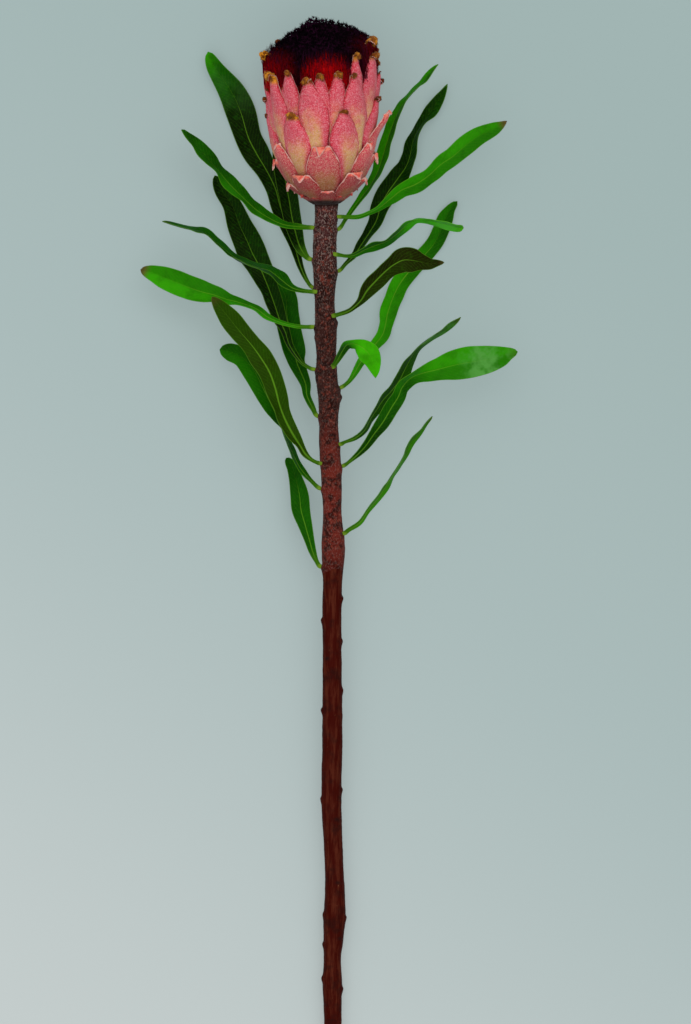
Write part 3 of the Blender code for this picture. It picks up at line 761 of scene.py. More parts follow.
def head_frame():
    """The foot of the head's axis, the axis, and the ways to azimuth 90 and azimuth 0."""
    rise = math.radians(HEAD_RISE)
    lean = math.radians(HEAD_LEAN)
    axis = Vector((math.sin(lean) * math.cos(rise), math.cos(lean) * math.cos(rise), math.sin(rise)))
    right = axis.cross(Vector((0, 0, 1))).normalized()
    return np.array(HEAD_FOOT), np.array(axis), np.array(right), np.array(right.cross(axis))


def on_head(height, azimuth, radius):
    """Points of the head, from their heights, azimuths in radians and radii."""
    foot, axis, right, front = head_frame()
    height, azimuth, radius = np.broadcast_arrays(height, azimuth, radius)
    out = np.sin(azimuth)[..., None] * right + np.cos(azimuth)[..., None] * front
    return foot + axis * height[..., None] + out * radius[..., None]


def head_radius(height):
    return HEAD_RADIUS(np.clip(height, 0.0, ENVELOPE[-1][0]))


def row_depth(index, height):
    """How far a row of bracts lies under the head's outside, by the rows that cover it."""
    depth = 0.0
    for row in ROWS[:index]:
        tallest = max(bract.tip for bract in row.bracts)
        depth = depth + 1.0 - smooth_step((height - tallest - 1.0) / 14.0)
    return BRACT_PITCH * depth


def ripple(points, scale, seed):
    """A smooth random value from -1 to 1 at each point."""
    return np.array([noise.noise(Vector(p) * scale + Vector((seed, 0.0, 0.0))) for p in points])


HEAD_RADIUS = smooth_curve(ENVELOPE)
DOME_RADIUS = smooth_curve([(height, radius) for height, radius, _ in DOME])
DOME_SKEW = smooth_curve([(height, skew) for height, _, skew in DOME])


# Meshes


def start_grid(name, across, along):
    """Adds a flat grid to be shaped. Gives it back with each point's place on it."""
    bpy.ops.object.select_all(action="DESELECT")
    bpy.ops.mesh.primitive_grid_add(x_subdivisions=across, y_subdivisions=along, size=1.0)
    piece = bpy.context.active_object
    piece.name = name
    piece.data.name = name
    flat = places_of(piece)
    return piece, 2.0 * flat[:, 0], flat[:, 1] + 0.5


def places_of(piece):
    flat = np.empty(len(piece.data.vertices) * 3)
    piece.data.vertices.foreach_get("co", flat)
    return flat.reshape(-1, 3)


def shape(piece, points):
    """Moves a mesh's points to their places, given in millimetres."""
    piece.data.vertices.foreach_set("co", (np.asarray(points) * MM).ravel())
    piece.data.update()


def mark(piece, name, values):
    """Stores a value for each point, for the piece's material to read."""
    layer = piece.data.attributes.new(name, "FLOAT", "POINT")
    layer.data.foreach_set("value", np.asarray(values, np.float32))


def thicken(piece, thickness, shares):
    """Gives an open sheet its thickness, a share of the most at each point."""
    group = piece.vertex_groups.new(name="thickness")
    for i, share in enumerate(shares):
        group.add([i], float(share), "REPLACE")
    solid = piece.modifiers.new("thickness", "SOLIDIFY")
    solid.thickness = thickness
    solid.offset = 0.0
    solid.vertex_group = group.name
    bpy.ops.object.modifier_apply(modifier=solid.name)
    piece.vertex_groups.clear()


def edit(piece, *steps):
    """Runs edit-mode steps on a piece with the faces, edges or points selected so far."""
    bpy.ops.object.mode_set(mode="EDIT")
    for step in steps:
        step()
    bpy.ops.object.mode_set(mode="OBJECT")


def join(name, pieces):
    """Joins several meshes into one piece."""
    bpy.ops.object.select_all(action="DESELECT")
    for piece in pieces:
        piece.select_set(True)
    bpy.context.view_layer.objects.active = pieces[0]
    bpy.ops.object.join()
    pieces[0].name = name
    pieces[0].data.name = name
    return pieces[0]


def finish_piece(piece, slot, looks, *nodes):
    """Gives a piece its materials, and says what it rides on and stands for."""
    piece.data.shade_smooth()
    for look in looks:
        piece.data.materials.append(look)
    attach(piece, BODY)
    if nodes:
        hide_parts(*nodes)
    return piece


def strand_template():
    """One hair as a slim cone with two rings in its side: its points and its faces."""
    bpy.ops.object.select_all(action="DESELECT")
    bpy.ops.mesh.primitive_cone_add(vertices=3, radius1=1.0, radius2=0.0, depth=1.0, location=(0, 0, 0.5))
    cone = bpy.context.active_object
    bpy.ops.object.transform_apply(location=True)
    for height in (0.4, 0.75):
        edit(
            cone,
            lambda: bpy.ops.mesh.select_all(action="SELECT"),
            lambda: bpy.ops.mesh.bisect(plane_co=(0, 0, height), plane_no=(0, 0, 1)),
        )
    points = places_of(cone)
    faces = [tuple(face.vertices) for face in cone.data.polygons]
    bpy.data.objects.remove(cone)
    return points, faces


def add_hairs(name, roots, ways, lengths, bends, width, tones, warmth):
    """One piece of many hairs, each a bent copy of the one modelled hair."""
    points, faces = strand_template()
    count, step = len(roots), len(points)
    ways = unit(ways)
    first = unit(np.cross(ways, np.array((0.31, 0.17, 0.93))))
    second = np.cross(ways, first)
    t = points[:, 2][None, :, None]
    lengths = np.broadcast_to(lengths, count)[:, None, None]
    width = np.broadcast_to(width, count)[:, None, None]
    strands = (
        roots[:, None]
        + (ways[:, None] + bends[:, None] * t) * t * lengths
        + first[:, None] * points[:, 0][None, :, None] * width
        + second[:, None] * points[:, 1][None, :, None] * width
    ).reshape(-1, 3)
    strands[:, 2] = np.maximum(strands[:, 2], 0.1)
    mesh = bpy.data.meshes.new(name)
    mesh.from_pydata(
        (strands * MM).tolist(),
        [],
        [tuple(k + i * step for k in face) for i in range(count) for face in faces],
    )
    piece = bpy.data.objects.new(name, mesh)
    bpy.context.scene.collection.objects.link(piece)
    mark(piece, "reach", np.tile(points[:, 2], count))
    mark(piece, "tone", np.repeat(tones, step))
    if warmth is not None:
        height, azimuth, _ = head_place(strands)
        streaked = height + 8.0 * (np.repeat(tones, step) - 0.5)
        mark(piece, "warmth", redness(streaked, azimuth) * np.repeat(warmth, step))
    return piece


# Materials


def put(tree, kind, values=None, **settings):
    """Adds a node, with its settings, its values and the sockets that feed it."""
    node = tree.nodes.new(kind)
    for key, value in settings.items():
        setattr(node, key, value)
    for key, value in (values or {}).items():
        socket = node.inputs[key]
        if isinstance(value, bpy.types.NodeSocket):
            tree.links.new(value, socket)
        elif isinstance(value, tuple) and socket.type == "RGBA":
            socket.default_value = (*value[:3], 1.0)
        else:
            socket.default_value = value
    return node


def maths(tree, operation, first, second=0.0, third=0.0):
    node = put(tree, "ShaderNodeMath", {0: first, 1: second, 2: third}, operation=operation)
    return node.outputs[0]


def fade(tree, value, start, end):
    """0 at start, 1 at end, smooth between, whichever of them is the larger."""
    low, high = min(start, end), max(start, end)
    to = (0.0, 1.0) if end > start else (1.0, 0.0)
    node = put(
        tree,
        "ShaderNodeMapRange",
        {"Value": value, "From Min": low, "From Max": high, "To Min": to[0], "To Max": to[1]},
        interpolation_type="SMOOTHSTEP",
    )
    return node.outputs["Result"]


def blend(tree, share, first, second):
    node = put(tree, "ShaderNodeMix", {0: share, 6: first, 7: second}, data_type="RGBA")
    return node.outputs[2]


def read(tree, name):
    """The value that a piece's mesh holds under that name."""
    return put(tree, "ShaderNodeAttribute", attribute_name=name).outputs["Fac"]


def new_group(name, inputs, outputs):
    """An empty node group with those sockets, and its first and last node."""
    group = bpy.data.node_groups.new(name, "ShaderNodeTree")
    for label, kind, value in inputs:
        socket = group.interface.new_socket(label, in_out="INPUT", socket_type=kind)
        if value is not None:
            socket.default_value = value
    for label, kind in outputs:
        group.interface.new_socket(label, in_out="OUTPUT", socket_type=kind)
    return group, group.nodes.new("NodeGroupInput"), group.nodes.new("NodeGroupOutput")


def mottle_group():
    """Breaks one colour up with patches or fine hairs of another."""
    name = "mottle"
    if name in bpy.data.node_groups:
        return bpy.data.node_groups[name]
    group, start, end = new_group(
        name,
        (
            ("Vector", "NodeSocketVector", None),
            ("Scale", "NodeSocketFloat", 1000.0),
            ("From", "NodeSocketFloat", 0.45),
            ("To", "NodeSocketFloat", 0.7),
            ("Amount", "NodeSocketFloat", 0.5),
            ("Color", "NodeSocketColor", (0.5, 0.5, 0.5, 1.0)),
            ("Second Color", "NodeSocketColor", (0.8, 0.8, 0.8, 1.0)),
        ),
        (("Color", "NodeSocketColor"), ("Mask", "NodeSocketFloat")),
    )
    grain = put(
        group, "ShaderNodeTexNoise",
        {"Vector": start.outputs["Vector"], "Scale": start.outputs["Scale"], "Detail": 3.0, "Roughness": 0.65},
    )
    mask = put(
        group, "ShaderNodeMapRange",
        {"Value": grain.outputs["Fac"], "From Min": start.outputs["From"], "From Max": start.outputs["To"]},
        interpolation_type="SMOOTHSTEP",
    )
    share = maths(group, "MULTIPLY", mask.outputs["Result"], start.outputs["Amount"])
    mixed = blend(group, share, start.outputs["Color"], start.outputs["Second Color"])
    group.links.new(mixed, end.inputs["Color"])
    group.links.new(mask.outputs["Result"], end.inputs["Mask"])
    return group


def relief_group():
    """Raises a fine grain on top of a coarser one."""
    name = "relief"
    if name in bpy.data.node_groups:
        return bpy.data.node_groups[name]
    group, start, end = new_group(
        name,
        (
            ("Vector", "NodeSocketVector", None),
            ("Fine Scale", "NodeSocketFloat", 2500.0),
            ("Coarse Scale", "NodeSocketFloat", 400.0),
            ("Coarse Share", "NodeSocketFloat", 0.5),
            ("Strength", "NodeSocketFloat", 0.5),
            ("Distance", "NodeSocketFloat", 0.0003),
        ),
        (("Normal", "NodeSocketVector"),),
    )
    vector = start.outputs["Vector"]
    fine = put(group, "ShaderNodeTexNoise", {"Vector": vector, "Scale": start.outputs["Fine Scale"], "Detail": 2.0})
    coarse = put(group, "ShaderNodeTexNoise", {"Vector": vector, "Scale": start.outputs["Coarse Scale"], "Detail": 3.0})
    lifted = maths(group, "MULTIPLY", coarse.outputs["Fac"], start.outputs["Coarse Share"])
    height = maths(group, "ADD", fine.outputs["Fac"], lifted)
    bump = put(
        group, "ShaderNodeBump",
        {"Height": height, "Strength": start.outputs["Strength"], "Distance": start.outputs["Distance"]},
    )
    group.links.new(bump.outputs["Normal"], end.inputs["Normal"])
    return group


def mottled(tree, vector, scale, first, second, amount, start=0.45, end=0.7):
    """One use of the mottle group: the mixed colour and where the second colour is."""
    node = put(
        tree, "ShaderNodeGroup", {}, node_tree=mottle_group()
    )
    for key, value in {
        "Vector": vector, "Scale": scale, "From": start, "To": end, "Amount": amount,
        "Color": first, "Second Color": second,
    }.items():
        if isinstance(value, bpy.types.NodeSocket):
            tree.links.new(value, node.inputs[key])
        elif isinstance(value, tuple):
            node.inputs[key].default_value = (*value[:3], 1.0)
        else:
            node.inputs[key].default_value = value
    return node.outputs["Color"], node.outputs["Mask"]


def relief(tree, vector, fine, coarse, share, strength, distance):
    node = put(tree, "ShaderNodeGroup", {}, node_tree=relief_group())
    tree.links.new(vector, node.inputs["Vector"])
    for key, value in {
        "Fine Scale": fine, "Coarse Scale": coarse, "Coarse Share": share, "Strength": strength,
        "Distance": distance,
    }.items():
        node.inputs[key].default_value = value
    return node.outputs["Normal"]


def new_material(name, **constants):
    """A material with its Principled shader, the shader's constants set on its sockets."""
    made = bpy.data.materials.new(name)
    made.use_nodes = True
    shader = made.node_tree.nodes["Principled BSDF"]
    for key, value in constants.items():
        socket = shader.inputs[key.replace("_", " ")]
        socket.default_value = (*value, 1.0) if isinstance(value, tuple) else value
    return made, made.node_tree, shader


def object_places(tree):
    return put(tree, "ShaderNodeTexCoord").outputs["Object"]


def stretched(tree, vector, scale):
    return put(tree, "ShaderNodeMapping", {"Vector": vector, "Scale": scale}).outputs[0]


def feed(tree, shader, **sockets):
    for key, value in sockets.items():
        tree.links.new(value, shader.inputs[key.replace("_", " ")])


# Settings


class StemSettings(bpy.types.PropertyGroup):
    wool: colour("Wool", (178, 152, 142), "Pale wool on the young part of the stem")
    young_bark: colour("Young bark", (106, 35, 26), "Bark under the wool")
    old_bark: colour("Old bark", (62, 8, 2), "Smooth bark on the lower stem")
    cut_wood: colour("Cut wood", (205, 176, 128), "The wood at the cut end")
    bark_depth: length("Bark depth", 0.0008, "Thickness of the bark at the cut end")


class LeafSettings(bpy.types.PropertyGroup):
    blade: length("Blade thickness", 0.0006, "Thickness of a leaf's blade")
    petiole: length("Petiole thickness", 0.0018, "Thickness of a leaf's stalk")
    ruffle: length("Ruffle", 0.00045, "How far the blade's edges wave up and down")
    # dark, middle and bright are the greens that a leaf's tone picks between; that tone is partly the leaf's own colour
    # and partly painted light and shade.
    dark: colour("Dark green", (6, 20, 2), "The darkest leaves")
    middle: colour("Green", (14, 78, 1), "Most leaves")
    bright: colour("Bright green", (60, 180, 4), "The lightest leaves")
    rib: colour("Midrib", (104, 158, 34), "The midrib and the finest veins")
    petiole_green: colour("Petiole", (58, 104, 12), "The leaf stalks")
    collar: colour("Collar", (118, 148, 40), "The foot of a leaf stalk, at the stem")
    dry: colour("Dry tip", (98, 66, 40), "Withered leaf tips")


class BractSettings(bpy.types.PropertyGroup):
    thickness: length("Thickness", 0.0011, "Thickness of a bract at its middle")
    bulge: length("Bulge", 0.0007, "How far a bract's middle stands out")
    tuck: length("Tuck", 0.0012, "How far a bract's sides turn in")
    pink: colour("Pink", (218, 70, 88), "The upper part of the bracts")
    cream: colour("Cream", (216, 166, 98), "The lower middle of the bracts")
    margin: colour("Margin", (208, 32, 56), "The sides of the bracts")
    down: colour("Down", (248, 190, 196), "The silvery hairs that cover the bracts")
    low_down: colour("Low down", (246, 200, 176), "The hairs on the lowest bracts")
    # shadow is partly painted shade: it darkens the underside and foot of the head, and it also gives the bracts' dark
    # streaks.
    shadow: colour("Shadow", (108, 28, 14), "The bracts' darkest streaks, and their feet")
    # seam is painted shade: the darkness in the crevice along a bract's very edges, where the next bract overlaps it.
    seam: colour("Seam", (150, 14, 30), "The very edges, where one bract meets the next")
    dusty: colour("Dusty pink", (220, 72, 88), "The lowest bracts")
    tan: colour("Tan", (192, 136, 74), "The lower middle of the lowest bracts")
    felt: colour("Felt rim", (228, 176, 164), "The pale rims of the lowest bracts")
    coral: colour("Coral", (250, 138, 116), "The inside of the lowest bracts' tips")
    coral_shade: colour("Coral shade", (214, 66, 60), "The same inside, where it is darker")
    golden: colour("Golden", (226, 146, 38), "The dry tips of the upper bracts")
    # brown is the dry tips' own darkest colour; it is also the painted shade along their edges.
    brown: colour("Brown", (92, 34, 6), "The darkest part of the dry tips")
    crimson: colour("Crimson", (186, 6, 8), "The inner bracts")


class FloretSettings(bpy.types.PropertyGroup):
    tufts: bpy.props.IntProperty(
        name="Tufts", default=780, min=50, max=900, description="Tufts of hair on the crown"
    )
    hairs: bpy.props.IntProperty(
        name="Hairs", default=11, min=5, max=18, description="Hairs in each tuft"
    )
    hair_length: length("Hair length", 0.0021, "Length of the hairs on the crown")
    hair_width: length("Hair width", 0.00034, "Radius of a hair at its root")
    black: colour("Black", (10, 6, 9), "The beard of the florets")
    purple: colour("Purple", (52, 18, 42), "The lighter hairs of the beard")
    red: colour("Red", (212, 6, 12), "The fibres low on the front")


class StageSettings(bpy.types.PropertyGroup):
    # near, floor and shade paint a light falloff on the floor: brightest on the near side, darkest towards the far
    # right.
    near: colour("Floor, near side", (203, 210, 209), "The surface that the flower lies on")
    floor: colour("Floor", (174, 190, 189), "The same surface in the middle")
    shade: colour("Floor, far side", (163, 182, 180), "The same surface towards its far right")
    distance: length("Camera distance", 6.0, "Height of the camera over the flower")
    view_height: length("View height", 0.6144, "How much of the scene the picture takes in")
    key: bpy.props.FloatProperty(
        name="Key light", default=15.5, min=0.0, unit="POWER", description="Power of the main light"
    )
    fill: bpy.props.FloatProperty(
        name="Fill light", default=10.0, min=0.0, unit="POWER", description="Power of each other light"
    )
    sky: bpy.props.FloatProperty(
        name="Surroundings", default=0.42, min=0.0, description="Brightness all round the scene"
    )


# Finishes


def velvet(name, settings, high, low, folded, folded_dark, down, down_share, low_top, rim_width, rim_on_fold):
    """Downy bract: low colour in its lower middle, high above, and its own folded tip."""
    made, tree, shader = new_material(
        name, Sheen_Weight=0.12, Sheen_Roughness=0.5, Sheen_Tint=(1.0, 0.82, 0.82),
        Specular_IOR_Level=0.08,
    )
    places = object_places(tree)
    reach, side, edge, tone, gilt = (read(tree, key) for key in ("reach", "side", "edge", "tone", "gilt"))
    patches = put(tree, "ShaderNodeTexNoise", {"Vector": places, "Scale": 240.0, "Detail": 2.0})
    wander = maths(tree, "MULTIPLY_ADD", patches.outputs["Fac"], 0.36, -0.18)
    along = maths(tree, "ADD", reach, wander)
    shifted = maths(tree, "ADD", side, maths(tree, "MULTIPLY", tone, 0.22))
    across = maths(tree, "ABSOLUTE", shifted)
    lower = fade(tree, along, low_top + 0.14, low_top - 0.24)
    middle = fade(tree, across, 0.84, 0.3)
    body = blend(tree, maths(tree, "MULTIPLY", lower, middle), high, low)
    sides = maths(tree, "MULTIPLY", fade(tree, edge, 3.6, 0.3), 0.85)
    body = blend(tree, sides, body, tuple(settings.margin))
    body, _ = mottled(tree, places, 420.0, body, tuple(settings.margin), 0.32, 0.48, 0.7)
    body, _ = mottled(tree, places, 620.0, body, down, down_share * 0.4, 0.5, 0.65)
    body, fine = mottled(tree, places, 1500.0, body, down, down_share, 0.48, 0.62)
    # Painted shade: the last millimetre of each bract's edge darkens to the seam colour, as in the crevice under the
    # next bract.
    body = blend(tree, maths(tree, "MULTIPLY", fade(tree, edge, 1.3, 0.2), 0.7), body, tuple(settings.seam))
    streaks = stretched(tree, places, (1.0, 0.3, 1.0))
    body, _ = mottled(tree, streaks, 800.0, body, tuple(settings.shadow), 0.30, 0.54, 0.72)
    north = put(tree, "ShaderNodeSeparateXYZ", {0: places}).outputs["Y"]
    # Darker and browner towards the head's foot: partly the low bracts' own colour, partly painted shade on the
    # underside of the head.
    body = blend(tree, maths(tree, "MULTIPLY", fade(tree, north, 0.232, 0.2), 0.68), body, tuple(settings.shadow))
    # Painted shade: a near-black band at the very foot of the head, where it meets the stem.
    body = blend(tree, fade(tree, north, 0.2006, 0.1986), body, (0.012, 0.003, 0.002))
    dry = blend(tree, gilt, folded_dark, folded)
    tip, _ = mottled(tree, places, 330.0, dry, folded_dark, 0.8, 0.44, 0.58)
    # Painted shade: a folded tip darkens towards its edges, as in the creases of the curl.
    tip = blend(tree, maths(tree, "MULTIPLY", fade(tree, edge, 1.3, 0.1), 0.6), tip, folded_dark)
    folding = maths(tree, "MULTIPLY_ADD", gilt, 0.06, reach)
    skin = blend(tree, fade(tree, folding, 0.985, 1.04), body, tip)
    felt, _ = mottled(tree, places, 1500.0, tuple(settings.felt), tuple(settings.margin), 0.5, 0.52, 0.68)
    ragged = maths(tree, "ADD", edge, maths(tree, "MULTIPLY_ADD", patches.outputs["Fac"], 4.8 * rim_width, -2.4 * rim_width))
    on_fold = fade(tree, reach, 1.0, 1.06)
    wider = maths(tree, "MULTIPLY_ADD", on_fold, rim_on_fold * rim_width, rim_width)
    rim = fade(tree, maths(tree, "DIVIDE", ragged, wider), 1.7, 0.5)
    rim = maths(tree, "MULTIPLY", rim, fade(tree, reach, 0.2, 0.8))
    # The pale rims give way near the foot, so the painted shade there stays dark.
    rim = maths(tree, "MULTIPLY", rim, fade(tree, north, 0.203, 0.2046))
    skin = blend(tree, rim, skin, felt)
    grain = relief(tree, places, 1500.0, 520.0, 0.8, 0.6, 0.00045)
    rough = maths(tree, "MULTIPLY_ADD", fine, 0.12, 0.8)
    feed(tree, shader, Base_Color=skin, Normal=grain, Roughness=rough)
    return made


def leaf_material(settings):
    """Leathery leaf with a pale midrib, side veins and a fine pale edge."""
    made, tree, shader = new_material("leaf green", Specular_IOR_Level=0.07, Specular_Tint=(0.5, 1.0, 0.3))
    places = object_places(tree)
    tone, rib, across, reach, edge, dry, olive = (
        read(tree, key) for key in ("tone", "rib", "across", "reach", "edge", "dry", "olive")
    )
    # The tone mark, partly the leaf's own colour and partly painted light and shade, picks the green from dark to
    # bright.
    green = blend(tree, fade(tree, tone, -1.0, 0.0), tuple(settings.dark), tuple(settings.middle))
    green = blend(tree, fade(tree, tone, 0.0, 1.0), green, tuple(settings.bright))
    green, patches = mottled(tree, places, 70.0, green, tuple(settings.dark), 0.4, 0.45, 0.75)
    green, grain = mottled(tree, places, 420.0, green, tuple(settings.bright), 0.09, 0.5, 0.75)
    browned = put(
        tree, "ShaderNodeMix", {0: olive, 6: green, 7: (1.0, 0.58, 0.6)}, data_type="RGBA", blend_type="MULTIPLY"
    )
    green = blend(tree, maths(tree, "MULTIPLY", olive, 0.12), browned.outputs[2], (0.10, 0.06, 0.0))
    sheen, _ = mottled(tree, places, 75.0, green, (0.10, 0.35, 0.06), 0.8, 0.38, 0.62)
    green = blend(tree, read(tree, "shine"), green, sheen)
    outward = maths(tree, "ABSOLUTE", across)
    slant = maths(tree, "SUBTRACT", maths(tree, "MULTIPLY", reach, 1.0), maths(tree, "MULTIPLY", outward, 1.7))
    bent = maths(tree, "ADD", slant, maths(tree, "MULTIPLY", patches, 1.2))
    wave = maths(tree, "SINE", maths(tree, "MULTIPLY", bent, 1.9))
    veins = maths(tree, "MULTIPLY", fade(tree, wave, 0.90, 1.0), fade(tree, edge, 0.4, 1.6))
    net = put(
        tree, "ShaderNodeTexVoronoi", {"Vector": places, "Scale": 900.0}, feature="DISTANCE_TO_EDGE"
    )
    mesh = fade(tree, net.outputs["Distance"], 0.10, 0.0)
    green = blend(tree, maths(tree, "MULTIPLY", veins, 0.12), green, tuple(settings.rib))
    green = blend(tree, maths(tree, "MULTIPLY", mesh, 0.04), green, tuple(settings.rib))
    green = blend(tree, maths(tree, "MULTIPLY", fade(tree, edge, 0.42, 0.12), 0.4), green, tuple(settings.rib))
    green = blend(tree, maths(tree, "MULTIPLY", fade(tree, rib, 1.3, 0.5), 0.62), green, tuple(settings.rib))
    green = blend(tree, maths(tree, "MULTIPLY", fade(tree, reach, 15.0, 3.0), 0.85), green, tuple(settings.petiole_green))
    green = blend(tree, maths(tree, "MULTIPLY", fade(tree, reach, 3.6, 1.2), 0.8), green, tuple(settings.collar))
    brown, _ = mottled(tree, places, 800.0, tuple(settings.dry), (0.02, 0.01, 0.005), 0.5)
    green = blend(tree, dry, green, brown)
    lift = maths(tree, "ADD", maths(tree, "MULTIPLY", veins, -0.6), maths(tree, "MULTIPLY", mesh, -0.25))
    lift = maths(tree, "ADD", lift, maths(tree, "MULTIPLY", patches, 1.2))
    bump = put(tree, "ShaderNodeBump", {"Height": lift, "Strength": 0.5, "Distance": 0.00025})
    rough = maths(tree, "MULTIPLY_ADD", grain, 0.16, 0.36)
    feed(tree, shader, Base_Color=green, Roughness=rough, Normal=bump.outputs["Normal"])
    return made


def woolly_bark(settings):
    """Young bark under short pale wool, greyer towards the flower."""
    made, tree, shader = new_material(
        "woolly bark", Sheen_Weight=0.05, Sheen_Roughness=0.5, Sheen_Tint=(0.9, 0.86, 0.82),
        Specular_IOR_Level=0.05, Roughness=0.9,
    )
    places = object_places(tree)
    y = put(tree, "ShaderNodeSeparateXYZ", {0: places}).outputs["Y"]
    bark = blend(tree, fade(tree, y, 0.085, 0.035), (0.042, 0.012, 0.009), tuple(settings.young_bark))
    bark = blend(tree, fade(tree, y, 0.15, 0.19), bark, (0.064, 0.02, 0.02))
    bark, _ = mottled(tree, places, 150.0, bark, (0.014, 0.003, 0.002), 0.85, 0.45, 0.58)
    bark, _ = mottled(tree, places, 400.0, bark, (0.26, 0.05, 0.03), 0.55, 0.5, 0.68)
    bark = blend(tree, maths(tree, "MULTIPLY", fade(tree, y, -0.006, -0.024), 0.6), bark, tuple(settings.old_bark))
    near = maths(tree, "MULTIPLY_ADD", fade(tree, y, 0.12, 0.19), 0.36, 0.13)
    flecks = stretched(tree, places, (1.0, 0.55, 1.0))
    wool, _ = mottled(tree, flecks, 1350.0, bark, tuple(settings.wool), near, 0.53, 0.6)
    scar = read(tree, "scar")
    wool = blend(tree, maths(tree, "MULTIPLY", scar, 0.75), wool, (0.02, 0.006, 0.005))
    # Painted shade: the bark turns near-black at the neck, under the overhanging head.
    wool = blend(tree, fade(tree, y, 0.1945, 0.1975), wool, (0.02, 0.006, 0.004))
    grain = relief(tree, places, 2200.0, 300.0, 0.9, 0.8, 0.0006)
    feed(tree, shader, Base_Color=wool, Normal=grain)
    return made


def smooth_bark(settings):
    """Old bark: thin, dark and drawn out along the stem, with pale flecks."""
    made, tree, shader = new_material("smooth bark", Specular_IOR_Level=0.03)
    places = object_places(tree)
    drawn = stretched(tree, places, (1.0, 0.12, 1.0))
    bark, streaks = mottled(tree, drawn, 500.0, tuple(settings.old_bark), (0.11, 0.022, 0.01), 0.7, 0.42, 0.7)
    bark, _ = mottled(tree, places, 110.0, bark, (0.018, 0.004, 0.003), 0.6, 0.48, 0.7)
    bark, flecks = mottled(tree, places, 620.0, bark, (0.30, 0.14, 0.06), 0.9, 0.70, 0.76)
    scar = read(tree, "scar")
    bark = blend(tree, maths(tree, "MULTIPLY", scar, 0.85), bark, (0.012, 0.005, 0.004))
    grain = relief(tree, drawn, 1400.0, 260.0, 1.2, 0.5, 0.0005)
    rough = maths(tree, "MULTIPLY_ADD", streaks, 0.2, 0.5)
    feed(tree, shader, Base_Color=bark, Normal=grain, Roughness=rough)
    return made


def cut_wood(settings, centre):
    """Growth rings and pores on the cut face."""
    made, tree, shader = new_material("cut wood", Specular_IOR_Level=0.2, Roughness=0.8)
    places = object_places(tree)
    moved = put(tree, "ShaderNodeMapping", {"Vector": places, "Location": tuple(-c for c in centre)})
    rings = put(
        tree, "ShaderNodeTexWave", {"Vector": moved.outputs[0], "Scale": 330.0, "Distortion": 1.2, "Detail": 2.0},
        wave_type="RINGS", rings_direction="Y",
    )
    wood = blend(tree, maths(tree, "MULTIPLY", rings.outputs["Fac"], 0.45), tuple(settings.cut_wood), (0.30, 0.17, 0.07))
    wood, _ = mottled(tree, places, 1600.0, wood, (0.16, 0.08, 0.03), 0.5, 0.55, 0.7)
    grain = relief(tree, places, 2600.0, 900.0, 0.7, 0.5, 0.0002)
    feed(tree, shader, Base_Color=wood, Normal=grain)
    return made


def hair_material(name, dark, light, warm=None):
    """Hair whose tone is marked on each strand, and whose warmth is if it has any."""
    made, tree, shader = new_material(name, Specular_IOR_Level=0.0)
    hair = blend(tree, fade(tree, read(tree, "tone"), 0.3, 1.0), dark, light)
    if warm:
        hair = blend(tree, read(tree, "warmth"), hair, warm)
    hair, _ = mottled(tree, object_places(tree), 700.0, hair, dark, 0.5, 0.45, 0.7)
    rough = maths(tree, "MULTIPLY_ADD", read(tree, "reach"), 0.2, 0.7)
    feed(tree, shader, Base_Color=hair, Roughness=rough)
    return made


def floret_material(settings):
    """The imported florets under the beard: black-purple, red low on the front."""
    made, tree, shader = new_material("packed florets", Specular_IOR_Level=0.0, Roughness=0.9)
    places = object_places(tree)
    drawn = stretched(tree, places, (1.0, 0.3, 1.0))
    mass, _ = mottled(tree, drawn, 700.0, tuple(settings.black), tuple(settings.purple), 0.6)
    mass = blend(tree, read(tree, "warmth"), mass, tuple(settings.red))
    mass, _ = mottled(tree, drawn, 1300.0, mass, tuple(settings.black), 0.7, 0.45, 0.65)
    grain = relief(tree, drawn, 1500.0, 420.0, 1.0, 0.9, 0.0012)
    feed(tree, shader, Base_Color=mass, Normal=grain)
    return made


def floor_material(settings):
    """Plain pale floor with painted light falloff, brighter near and darker to the far right; its own glow thins the
    shadows on it.
    """
    made, tree, shader = new_material(
        "floor", Roughness=0.9, Specular_IOR_Level=0.1, Emission_Strength=FLOOR_GLOW
    )
    places = object_places(tree)
    split = put(tree, "ShaderNodeSeparateXYZ", {0: places})
    slope = maths(tree, "MULTIPLY_ADD", split.outputs["X"], 0.6, split.outputs["Y"])
    colours = blend(tree, fade(tree, slope, -0.5, 0.05), tuple(settings.near), tuple(settings.floor))
    colours = blend(tree, fade(tree, slope, -0.1, 0.4), colours, tuple(settings.shade))
    matt = blend(tree, FLOOR_GLOW, colours, (0.0, 0.0, 0.0))
    feed(tree, shader, Base_Color=matt, Emission_Color=colours)
    return made


# Pieces


